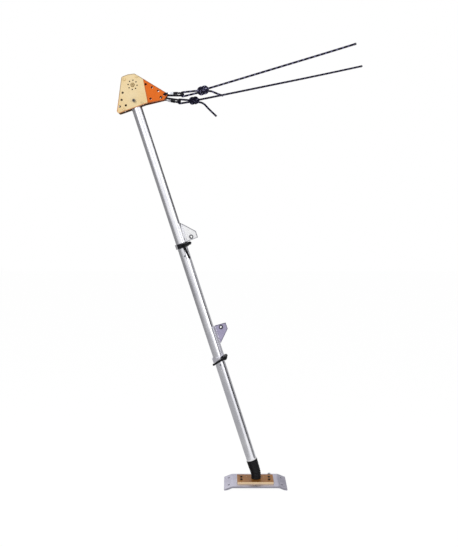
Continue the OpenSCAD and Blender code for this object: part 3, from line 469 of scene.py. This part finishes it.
# steel pin with a sanded end: a matt warm grey without a glint
dullSteel = turnedMetal("sandedPinSteel", {
    "bright": "948c80", "dull": "7e776d", "edge": "aaa396", "rough": (0.55, 0.7), "metal": 0.2,
    "specular": 0.2})
# plain turned steel: mid grey with soft highlights
greySteel = turnedMetal("greySteel", {
    "bright": "b9bac0", "dull": "9b9ca3", "edge": "dcdde0", "rough": (0.3, 0.45)})
# black oxide on steel: near black, brown where it wears at the edges
darkSteel = turnedMetal("blackOxideSteel", {
    "bright": "3a3530", "dull": "241f1c", "edge": "6a625a", "rough": (0.3, 0.48)})
# drawn spring wire: dark grey with a narrow bright line on each turn
springSteel = turnedMetal("springSteel", {
    "bright": "8b8f96", "dull": "6a6e75", "edge": "c2c5ca", "rough": (0.22, 0.35)})
# cast and bored bronze: a warm yellow brown
bronze = turnedMetal("bushBronze", {
    "bright": "c39a58", "dull": "a27a40", "edge": "e2c288", "rough": (0.24, 0.4)})
# forged aluminium alloy, dyed black: deep blue black with a soft long highlight
blackAnodised = turnedMetal("blackAnodisedAlloy", {
    "bright": "12121f", "dull": "0b0b14", "edge": "34344a", "rough": (0.26, 0.4), "metal": 0.25,
    "specular": 0.25})
# turned alloy sleeve, dyed black and bare towards the head: silver up to a place along x, black past it
sleeveLook = {"bright": "0e0e18", "dull": "08080f", "edge": "2c2c3c", "silver": "dfe3ea",
              "rough": (0.28, 0.4), "metal": 0.25, "specular": 0.25}
sleeveFront = turnedMetal("twoToneSleeveFront", dict(sleeveLook, silverUpTo=-0.473))
sleeveRear = turnedMetal("twoToneSleeveRear", dict(sleeveLook, silverUpTo=-0.4936))
# glass-filled nylon, moulded: black and half matt
blackPlastic = mouldedPlastic("blackMouldedPlastic", {
    "colour": "08090d", "worn": "1c1e26", "rough": (0.34, 0.5), "specular": 0.16})
# acetal, moulded: an opaque cool white that slides
whitePlastic = mouldedPlastic("whiteMouldedPlastic", {
    "colour": "ececf1", "worn": "d8d8df", "rough": (0.4, 0.55)})
# neoprene rubber, moulded: black with a wide soft sheen on each rib
bootRubber = mouldedPlastic("ribbedBootRubber", {
    "colour": "07070c", "worn": "1c1c26", "rough": (0.36, 0.55), "grain": 900.0, "depth": 0.5,
    "specular": 0.25})
# waxed polyester thread, wound tight: grey, and a little glossy for a cord
whippingThread = mouldedPlastic("waxedWhippingThread", {
    "colour": "3f3d4c", "worn": "5a5868", "rough": (0.5, 0.7), "specular": 0.3})
# braided polyester sheath: matt navy with pale tracer yarns, which show as dashes in both directions on the
# front rope and, dimmer, in one direction on the rear one
ropeLook = {
    "pitch": 0.031,         # length in which a strand goes once round
    "strands": 8.0,         # strands wound in each direction
    "paleRight": 0.5, "paleLeft": 0.5,      # strands numbered below this are pale
    "dark": "0e0c20", "darkHigh": "19162f", "pale": "8f8cb8", "paleHigh": "b4b2d4",
}
ropeFrontBraid = braidedRope("navyBraidFront", ropeLook)
ropeRearBraid = braidedRope("navyBraidRear", dict(ropeLook, paleLeft=-0.5, pale="6f6c9a"))
print("materials made:", len(bpy.data.materials))


ropes = {
    "radius": 0.0055,
    "crown": 0.0004,        # how far a strand stands out of the rope
    "sides": 32,
    "step": 0.0012,         # distance between rings along the rope
    "knotSides": 24, "knotStep": 0.0016,        # the same in the knots, which are mostly hidden in themselves
    "bight": 0.0113,        # radius of the loop round the carabiner's bow
    "strandGap": 5.6,       # mm from the middle of the knot's pair of strands to each of them
    "strandLift": 1.5,      # mm that one of the pair lies above the middle
}
whipping = {
    "turns": 13.0,
    "thread": 0.00045,      # radius of the thread
    "fromEnd": 0.0025,      # bare rope past the whipping
}
whipping["radius"] = ropes["radius"] + whipping["thread"] * 0.6     # sunk a little into the sheath
whipping["height"] = whipping["turns"] * whipping["thread"] * 1.9   # turns that touch
# bow is the middle of the carabiner's bow. The knot's middle is measured from it in metres, and the routes of
# the guy and its tail in millimetres. size is the knot's scale along the rope, up and outwards.
guys = {
    "front": {
        "bow": Vector((-0.41838, -0.02716, 2.27319)),
        "route": [(142, -17, 30), (300, -64, 69), (460, -112, 109), (620, -159, 149), (780, -207, 189),
                  (932, -252, 228)],
        "tail": [(140, -14, 16), (160, -16, 14), (180, -18, 6), (204, -21, -4), (226, -23, -11)],
        "knot": Vector((0.112, -0.010, 0.020)),
        "size": (1.0, 1.0, 1.0),
        "body": "crab_front",
        "braid": ropeFrontBraid,
    },
    "rear": {
        "bow": Vector((-0.43953, 0.02700, 2.24071)),
        "route": [(107, 13, 11), (300, 60, 56), (500, 108, 103), (700, 157, 150), (900, 205, 198),
                  (1079, 249, 242)],
        "tail": [(104, 6, -3), (122, 8, -6), (140, 10, -16), (160, 13, -37), (184, 16, -60), (208, 18, -82)],
        "knot": Vector((0.079, 0.007, 0.006)),
        "size": (0.86, 0.86, 0.9),
        "body": "crab_rear",
        "braid": ropeRearBraid,
    },
}


def groupInput(tree, name, kind, value):
    socket = tree.interface.new_socket(name, in_out="INPUT", socket_type=kind)
    if value is not None:
        socket.default_value = value
    return socket.identifier


def growthTree(name, sockets):
    # a node group with a curve going in, named sockets for its sizes and a material, and a mesh coming out
    tree = bpy.data.node_groups.new(name, "GeometryNodeTree")
    tree.interface.new_socket("Geometry", in_out="INPUT", socket_type="NodeSocketGeometry")
    ids = {}
    for key, (label, kind, value) in sockets.items():
        ids[key] = groupInput(tree, label, "NodeSocket" + kind, value)
    ids["material"] = groupInput(tree, "Material", "NodeSocketMaterial", None)
    tree.interface.new_socket("Geometry", in_out="OUTPUT", socket_type="NodeSocketGeometry")
    return tree, ids, addNode(tree, "NodeGroupInput").outputs


def closeTree(tree, given, geometry):
    smooth = addNode(tree, "GeometryNodeSetShadeSmooth", {"Geometry": geometry}).outputs[0]
    real = addNode(tree, "GeometryNodeRealizeInstances", {"Geometry": smooth}).outputs[0]
    done = addNode(tree, "GeometryNodeSetMaterial", {"Geometry": real, "Material": given["Material"]})
    addNode(tree, "NodeGroupOutput", {0: done.outputs[0]})


def stored(tree, geometry, name, value, kind):
    # keeps a value on the points of a curve, for the mesh that is swept along it
    inputs = {"Geometry": geometry, "Name": name, "Value": value}
    return addNode(tree, "GeometryNodeStoreNamedAttribute", inputs, data_type=kind, domain="POINT").outputs[0]


def sheathTree():
    # rings of a round section along the curve, pushed out where a strand of the braid lies on top
    tree, ids, given = growthTree("braidedSheath", {
        "radius": ("Radius", "Float", ropes["radius"]),
        "crown": ("Crown", "Float", ropes["crown"]),
        "sides": ("Sides", "Int", ropes["sides"]),
        "step": ("Step", "Float", ropes["step"]),
        "pitch": ("Pitch", "Float", ropeLook["pitch"]),
        "strands": ("Strands", "Float", ropeLook["strands"]),
    })
    even = addNode(tree, "GeometryNodeResampleCurve", {"Curve": given["Geometry"], "Length": given["Step"]},
                   mode="LENGTH").outputs[0]
    run = addNode(tree, "GeometryNodeSplineParameter").outputs["Length"]
    alongCurve = stored(tree, even, "run", run, "FLOAT")
    ring = addNode(tree, "GeometryNodeCurvePrimitiveCircle",
                   {"Resolution": given["Sides"], "Radius": given["Radius"]}).outputs[0]
    share = addNode(tree, "GeometryNodeSplineParameter").outputs["Factor"]
    full = math2(tree, "MULTIPLY", share, 2 * math.pi)
    ringTurn = addNode(tree, "ShaderNodeCombineXYZ", {
        0: math2(tree, "COSINE", full), 1: math2(tree, "SINE", full)}).outputs[0]
    ring = stored(tree, ring, "around", ringTurn, "FLOAT_VECTOR")
    tube = addNode(tree, "GeometryNodeCurveToMesh", {"Curve": alongCurve, "Profile Curve": ring,
                                                     "Fill Caps": True}).outputs[0]
    around = addNode(tree, "GeometryNodeInputNamedAttribute", {"Name": "around"}, data_type="FLOAT_VECTOR")
    length = addNode(tree, "GeometryNodeInputNamedAttribute", {"Name": "run"}, data_type="FLOAT").outputs[0]
    part = addNode(tree, "ShaderNodeSeparateXYZ", {0: around.outputs[0]})
    turn = addNode(tree, "ShaderNodeCombineXYZ", {0: part.outputs[0], 1: part.outputs[1], 2: length})
    tube = stored(tree, tube, "ropeTurn", turn.outputs[0], "FLOAT_VECTOR")
    angle = math2(tree, "DIVIDE", math2(tree, "ARCTAN2", part.outputs[1], part.outputs[0]), 2 * math.pi)
    pitches = math2(tree, "DIVIDE", length, given["Pitch"])
    crowns = []
    indices = []
    for operation in ("ADD", "SUBTRACT"):
        wound = math2(tree, "MULTIPLY", math2(tree, operation, angle, pitches), given["Strands"])
        indices.append(math2(tree, "FLOOR", wound))
        offCentre = math2(tree, "SUBTRACT", math2(tree, "FRACT", wound), 0.5)
        squared = math2(tree, "POWER", math2(tree, "ABSOLUTE", offCentre), 2.0)
        crowns.append(math2(tree, "SUBTRACT", 1.0, math2(tree, "MULTIPLY", squared, 4.0)))
    over = math2(tree, "FLOORED_MODULO", math2(tree, "ADD", indices[0], indices[1]), 2.0)
    top = math2(tree, "ADD", math2(tree, "MULTIPLY", crowns[0], math2(tree, "SUBTRACT", 1.0, over)),
                math2(tree, "MULTIPLY", crowns[1], over))
    rise = math2(tree, "MULTIPLY", math2(tree, "SUBTRACT", top, 0.5), given["Crown"])
    normal = addNode(tree, "GeometryNodeInputNormal").outputs[0]
    offset = addNode(tree, "ShaderNodeVectorMath", {0: normal, "Scale": rise}, operation="SCALE").outputs[0]
    pushed = addNode(tree, "GeometryNodeSetPosition", {"Geometry": tube, "Offset": offset}).outputs[0]
    closeTree(tree, given, pushed)
    return tree, ids


def curveObject(name, runs):
    # runs are lists of points, each an open poly spline
    data = bpy.data.curves.new(name, "CURVE")
    data.dimensions = "3D"
    for points in runs:
        spline = data.splines.new("POLY")
        spline.points.add(len(points) - 1)
        for point, place in zip(spline.points, points):
            point.co = (*place, 1.0)
    return linked(name, data)


def grown(name, source, tree, ids, values):
    # runs a node tree on a source object and keeps the result as a plain mesh
    modifier = source.modifiers.new(tree.name, "NODES")
    modifier.node_group = tree
    for key, value in values.items():
        modifier[ids[key]] = value
    bpy.context.view_layer.update()
    mesh = bpy.data.meshes.new_from_object(source.evaluated_get(bpy.context.evaluated_depsgraph_get()))
    source.modifiers.remove(modifier)
    bpy.data.objects.remove(source)
    mesh.name = name
    return linked(name, mesh)


def coilTree():
    # a wire or thread wound round z: the whipping on a rope's end, and the spring behind a snap button
    tree, ids, given = growthTree("woundCoil", {
        "turns": ("Turns", "Float", whipping["turns"]),
        "radius": ("Radius", "Float", whipping["radius"]),
        "wire": ("Wire radius", "Float", whipping["thread"]),
        "height": ("Height", "Float", whipping["height"]),
    })
    coil = addNode(tree, "GeometryNodeCurveSpiral", {
        "Resolution": 24, "Rotations": given["Turns"], "Start Radius": given["Radius"],
        "End Radius": given["Radius"], "Height": given["Height"]}).outputs[0]
    section = addNode(tree, "GeometryNodeCurvePrimitiveCircle",
                      {"Resolution": 8, "Radius": given["Wire radius"]}).outputs[0]
    wound = addNode(tree, "GeometryNodeCurveToMesh", {"Curve": coil, "Profile Curve": section,
                                                      "Fill Caps": True}).outputs[0]
    closeTree(tree, given, wound)
    return tree, ids


sheath, sheathIds = sheathTree()
coil, coilIds = coilTree()


def coilOn(name, foot, towards, values):
    # a coil that starts at foot and winds towards a direction
    made = grown(name, curveObject(name + "Line", [[foot, foot + towards]]), coil, coilIds, values)
    turned = Vector((0, 0, 1)).rotation_difference(towards).to_matrix().to_4x4()
    made.data.transform(Matrix.Translation(foot) @ turned)
    return made


def placed(points, origin):
    return [origin + Vector(p) / 1000 for p in points]


# a figure-eight seen face on, in millimetres: across the rope's run, up, and out of the face
eightTurns = [
    (40, 1, 0), (30, 1, 4), (21, 0, 9), (11, -3, 4), (1, -8, -5), (-9, -14, -4), (-17, -13, 3),
    (-22, -3, 9), (-18, 10, 4), (-9, 14, -3), (-2, 4, -8), (2, -4, 8), (9, -14, 3), (18, -10, -4),
    (22, 3, -9), (17, 13, -3), (9, 14, 4), (-1, 8, 5), (-11, 3, -4), (-21, 0, -9), (-30, -1, -4),
    (-40, -1, 0),
]


def knotFrame(guy):
    # the directions of a knot: along its rope, up, and out of its face
    run = guy["knot"].normalized()
    up = run.cross(Vector((0, 1, 0))).normalized()
    return run, up, run.cross(up)


def strandThrough(guy, side):
    # one of the two strands of the knot, from the rope's side to the carabiner's
    run, up, out = knotFrame(guy)
    centre = guy["bow"] + guy["knot"]
    turns = [Vector(p) for p in eightTurns]
    sx, sy, sz = guy["size"]
    places = []
    for i, p in enumerate(turns):
        ahead = turns[min(i + 1, len(turns) - 1)] - turns[max(i - 1, 0)]
        normal = Vector((-ahead.y, ahead.x, 0)).normalized()
        q = p + normal * (-side * ropes["strandGap"]) + Vector((0, 0, side * ropes["strandLift"]))
        places.append(centre + (run * q.x * sx + up * q.y * sy + out * q.z * sz) / 1000)
    return places


for name, guy in guys.items():
    run, up = knotFrame(guy)[:2]
    ropeLine = smoothPath(placed(guy["route"], guy["bow"]), 6)
    tailLine = smoothPath(placed(guy["tail"], guy["bow"]), 5)
    around = [guy["bow"] + ropes["bight"] * (math.cos(math.radians(a)) * up - math.sin(math.radians(a)) * run)
              for a in range(0, 181, 20)]
    first, second = strandThrough(guy, 1), strandThrough(guy, -1)
    whole = [ropeLine[0]] + first[1:-1] + around + second[1:-1][::-1] + [tailLine[0]]
    loop = curveObject("knotLine_" + name, [smoothPath(whole, 5)])
    values = {"radius": ropes["radius"], "crown": ropes["crown"], "sides": ropes["knotSides"],
              "step": ropes["knotStep"], "material": guy["braid"]}
    knot = grown("knot_turns_" + name, loop, sheath, sheathIds, values)
    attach(knot, guy["body"])
    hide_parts("knot_" + name)
    values = dict(values, sides=ropes["sides"], step=ropes["step"])
    for kind, line in (("guy", ropeLine), ("tail", tailLine)):
        made = grown(kind + "_rope_" + name, curveObject(kind + "Line", [line]), sheath, sheathIds, values)
        back = (line[-2] - line[-1]).normalized()
        ending = coilOn(kind + "_whipping_" + name, line[-1] + back * whipping["fromEnd"], back, {
            "turns": whipping["turns"], "radius": whipping["radius"], "wire": whipping["thread"],
            "height": whipping["height"], "material": whippingThread})
        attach(ending, guy["body"])
        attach(made, guy["body"])
        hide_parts(("rope_" if kind == "guy" else "tail_") + name)
print("ropes and knots made")


boot = {
    "bottomRadius": 0.0285, "topRadius": 0.033,     # to the crests of the ribs
    "ribs": 13, "ringsPerRib": 12, "sides": 64,
    "groove": 0.003,        # depth of the valleys
    "wall": 0.002,
    "baseTop": 0.039,       # height at which it stands on the base plate
    "bendRadius": 0.120,    # of its middle line, from upright to the pole's lean
    "end": 0.086,           # its top, along the pole from the pivot
}
# the bend starts this far below the pivot and ends as far above it
bendFrom = boot["bendRadius"] * math.tan(pole["lean"] / 2)
uprightRun = pole["pivot"] - bendFrom - boot["baseTop"]
bendRun = boot["bendRadius"] * pole["lean"]
bootLength = uprightRun + bendRun + boot["end"] - bendFrom


def bootCentre(s):
    if s < uprightRun:
        return Vector((0, 0, boot["baseTop"] + s))
    if s < uprightRun + bendRun:
        turn = (s - uprightRun) / boot["bendRadius"]
        return Vector((-boot["bendRadius"] * (1 - math.cos(turn)), 0,
                       pole["pivot"] - bendFrom + boot["bendRadius"] * math.sin(turn)))
    return onPole(0, 0, bendFrom + s - uprightRun - bendRun)


def bellowsTree():
    # a skin round the centre line whose radius swells at every rib
    tree, ids, given = growthTree("ribbedBoot", {
        "low": ("Radius at start", "Float", boot["bottomRadius"]),
        "high": ("Radius at end", "Float", boot["topRadius"]),
        "start": ("Start share", "Float", 0.0),
        "end": ("End share", "Float", 1.0),
        "ribs": ("Ribs", "Int", boot["ribs"]),
        "groove": ("Groove", "Float", boot["groove"]),
        "sides": ("Sides", "Int", boot["sides"]),
    })
    share = addNode(tree, "GeometryNodeSplineParameter").outputs["Factor"]
    place = addNode(tree, "ShaderNodeMapRange", {"Value": share, "To Min": given["Start share"],
                                                 "To Max": given["End share"]}).outputs[0]
    ribNumber = math2(tree, "MULTIPLY", place, given["Ribs"])
    wave = math2(tree, "COSINE", math2(tree, "MULTIPLY", ribNumber, 2 * math.pi))
    # a rounded crest and a tighter valley
    dip = math2(tree, "POWER", math2(tree, "MULTIPLY_ADD", wave, 0.5, 0.5), 1.6)
    plain = addNode(tree, "ShaderNodeMapRange", {"Value": place, "To Min": given["Radius at start"],
                                                 "To Max": given["Radius at end"]}).outputs[0]
    radius = math2(tree, "SUBTRACT", plain, math2(tree, "MULTIPLY", dip, given["Groove"]))
    ring = addNode(tree, "GeometryNodeCurvePrimitiveCircle",
                   {"Resolution": given["Sides"], "Radius": 1.0}).outputs[0]
    skin = addNode(tree, "GeometryNodeCurveToMesh", {"Curve": given["Geometry"], "Profile Curve": ring,
                                                     "Scale": radius}).outputs[0]
    closeTree(tree, given, skin)
    return tree, ids


bellows, bellowsIds = bellowsTree()
pivotShare = (uprightRun + bendRun / 2) / bootLength
pivotShare = round(pivotShare * boot["ribs"]) / boot["ribs"]
rings = boot["ribs"] * boot["ringsPerRib"]
# the boot is made in two halves, which meet at a rib near the foot pivot
for name, start, end, bodyA, bodyB in (("boot_lower", 0.0, pivotShare, "foot", "cross"),
                                       ("boot_upper", pivotShare, 1.0, "cross", "mast")):
    count = round(rings * (end - start))
    line = [bootCentre(bootLength * (start + (end - start) * i / count)) for i in range(count + 1)]
    sleeve = grown(name, curveObject(name + "Line", [line]), bellows, bellowsIds, {
        "low": boot["bottomRadius"], "high": boot["topRadius"], "start": start, "end": end,
        "ribs": boot["ribs"], "groove": boot["groove"], "sides": boot["sides"], "material": bootRubber})
    thick = sleeve.modifiers.new("wall", "SOLIDIFY")
    thick.thickness = boot["wall"]
    thick.offset = -1
    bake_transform(sleeve)
    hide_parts("boot")
print("boot made")


springs = {
    "turns": 14.0,
    "wire": 0.0008,         # radius of the wire
    "outside": 0.0075,      # radius over the coil
    "back": 0.02252, "front": -0.02022,      # where it rests on the sleeve and on the button's shoulder
    "travel": 0.004,        # how far the button goes in
    "stations": {"upper": 1.351, "lower": 0.686},
}
for name, station in springs["stations"].items():
    foot = onPole(0, springs["back"] - springs["wire"], station)
    tall = springs["back"] - springs["front"]
    spring = coilOn("coil_spring_" + name, foot, Vector((0, -1, 0)), {
        "turns": springs["turns"], "radius": springs["outside"] - springs["wire"], "wire": springs["wire"],
        "height": tall - 2 * springs["wire"], "material": springSteel})
    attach(spring, "mast")
    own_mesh(spring)
    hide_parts("snap_spring_" + name)
print("springs made")


finishes = {
    headAnodised: ["head_plate_front", "head_plate_rear"],
    creamSteel: ["head_bolts", "head_nuts"],
    axleSteel: ["sheave_axle", "axle_nut"],
    zincSteel: ["head_spacers"],
    dullSteel: ["leg_pin"],
    greySteel: ["axle_collars", "post_yoke", "post_bolt", "rear_stud", "clamp_stud_upper",
                "clamp_stud_lower", "clamp_nut_upper", "clamp_nut_lower", "foot_nuts", "gate_pin_front",
                "gate_pin_rear", "sheave"],
    bronze: ["sheave_bush"],
    tubeAluminium: ["tube_upper", "tube_middle", "tube_lower"],
    couplerAluminium: ["coupler_upper", "coupler_lower"],
    springSteel: ["snap_button_upper", "snap_button_lower", "snap_spring_upper", "snap_spring_lower"],
    upperCast: ["bracket_upper"],
    lowerCast: ["bracket_lower"],
    whitePlastic: ["clamp_liner_upper", "clamp_liner_lower"],
    blackPlastic: ["eye_bush_upper", "eye_bush_lower", "clamp_washer_upper", "clamp_washer_lower",
                   "clamp_lever_upper", "clamp_lever_lower", "top_cap", "pin_button"],
    blackAnodised: ["carabiner_front", "carabiner_rear"],
    sleeveFront: ["lock_sleeve_front"],
    sleeveRear: ["lock_sleeve_rear"],
    gateSilver: ["gate_front", "gate_rear"],
    darkSteel: ["foot_bolts", "cross"],
    yokeWhite: ["mast_yoke"],
    basePlate: ["base_plate"],
    footAluminium: ["foot_plate"],
}
for material, names in finishes.items():
    for name in names:
        if len(nodes[name].material_slots) == 0:
            nodes[name].data.materials.append(material)
        for slot in nodes[name].material_slots:
            slot.material = material
print("finishes given")


studio = {
    "floorSize": 30.0,       # side of the square
    "floorGlow": 0.90,       # share of the floor that shows as plain white
    "floorLift": 1.06,       # so that the lit floor meets the white background without a line
    "ambient": 0.42,         # light of the room on matt surfaces
}
lamps = {
    "keyLight": {"at": (-2.0, -3.6, 3.6), "aim": (-0.4, 0, 1.2), "size": (2.4, 2.4), "power": 72.0},
    "fillLight": {"at": (2.6, -3.0, 2.2), "aim": (-0.3, 0, 1.2), "size": (1.6, 2.6), "power": 26.0},
}
# upright cards of a light tent, from one floor point to another and between two heights, with their grey
screens = {
    "lowDarkRight": ((2.0, -1.15), (2.0, 0.5), (-0.2, 1.9), 0.03),      # the dark line of the lower tube
    "lowGreyBehind": ((2.0, 0.5), (0.4, 3.0), (-0.2, 1.9), 0.5),        # the grey beside it
    "highDarkRight": ((2.0, -0.2), (0.2, 3.2), (1.9, 3.8), 0.12),       # the softer line of the upper tube
    "greyLeft": ((-2.4, -1.6), (-1.4, 2.4), (-0.2, 3.2), 0.3),          # the grey left side of every tube
}
# cards that lie just above the floor, by their corners, and darken what the undersides mirror
mats = {
    "greyFloorLeft": [(-5.0, -7.0), (2.6, -7.0), (-0.2, -0.14), (-5.0, -0.14)],
    "greyFloorBehind": [(-5.0, -0.14), (-0.2, -0.14), (-0.2, 1.5), (-5.0, 1.5)],
}
matLook = {"height": 0.012, "grey": 0.46}


def seenDirectly(tree):
    # 1 for the camera and for reflections, 0 where light only brightens a matt surface
    ray = addNode(tree, "ShaderNodeLightPath").outputs
    bounced = math2(tree, "MAXIMUM", ray["Is Glossy Ray"], ray["Is Transmission Ray"])
    return math2(tree, "MAXIMUM", ray["Is Camera Ray"], bounced)


def glow(tree, strength):
    return addNode(tree, "ShaderNodeEmission", {"Color": (1, 1, 1, 1), "Strength": strength}).outputs[0]


def cardMaterial(name, grey):
    material, tree, shader = newMaterial(name)
    tree.nodes.remove(shader)
    tree.links.new(glow(tree, grey), tree.nodes["Material Output"].inputs[0])
    return material


def floorMaterial():
    # white to the camera and in reflections, with a share of plain matt white that takes the shadow
    material, tree, shader = newMaterial("paleFloor")
    tree.nodes.remove(shader)
    matt = addNode(tree, "ShaderNodeBsdfDiffuse", {"Color": srgb("f4f4f4")}).outputs[0]
    share = math2(tree, "MULTIPLY", seenDirectly(tree), studio["floorGlow"])
    mixed = addNode(tree, "ShaderNodeMixShader", {0: share, 1: matt, 2: glow(tree, studio["floorLift"])})
    tree.links.new(mixed.outputs[0], tree.nodes["Material Output"].inputs[0])
    return material


def flatSheet(name, corners, material):
    mesh = bpy.data.meshes.new(name)
    mesh.from_pydata(corners, [], [(0, 1, 2, 3)])
    mesh.materials.append(material)
    made = linked(name, mesh)
    return made


def reflectionCard(name, corners, grey):
    # shows only in gloss
    card = flatSheet(name, corners, cardMaterial(name, grey))
    card.visible_camera = False
    card.visible_diffuse = False
    card.visible_shadow = False


half = studio["floorSize"] / 2
flatSheet("floor", [(-half, -half, 0), (half, -half, 0), (half, half, 0), (-half, half, 0)], floorMaterial())

world = bpy.data.worlds.new("studio")
bpy.context.scene.world = world
world.use_nodes = True
sky = world.node_tree
background = sky.nodes["Background"]
background.inputs["Color"].default_value = (1, 1, 1, 1)
sky.links.new(remap(sky, seenDirectly(sky), 0.0, 1.0, studio["ambient"], 1.0), background.inputs["Strength"])

for name, lamp in lamps.items():
    data = bpy.data.lights.new(name, "AREA")
    data.shape = "RECTANGLE"
    data.size, data.size_y = lamp["size"]
    data.energy = lamp["power"]
    made = linked(name, data)
    made.location = lamp["at"]
    made.rotation_euler = (Vector(lamp["aim"]) - Vector(lamp["at"])).to_track_quat("-Z", "Y").to_euler()

for name, (start, end, (low, high), grey) in screens.items():
    reflectionCard(name, [(*start, low), (*end, low), (*end, high), (*start, high)], grey)
for name, corners in mats.items():
    reflectionCard(name, [(*corner, matLook["height"]) for corner in corners], matLook["grey"])
print("studio lit")
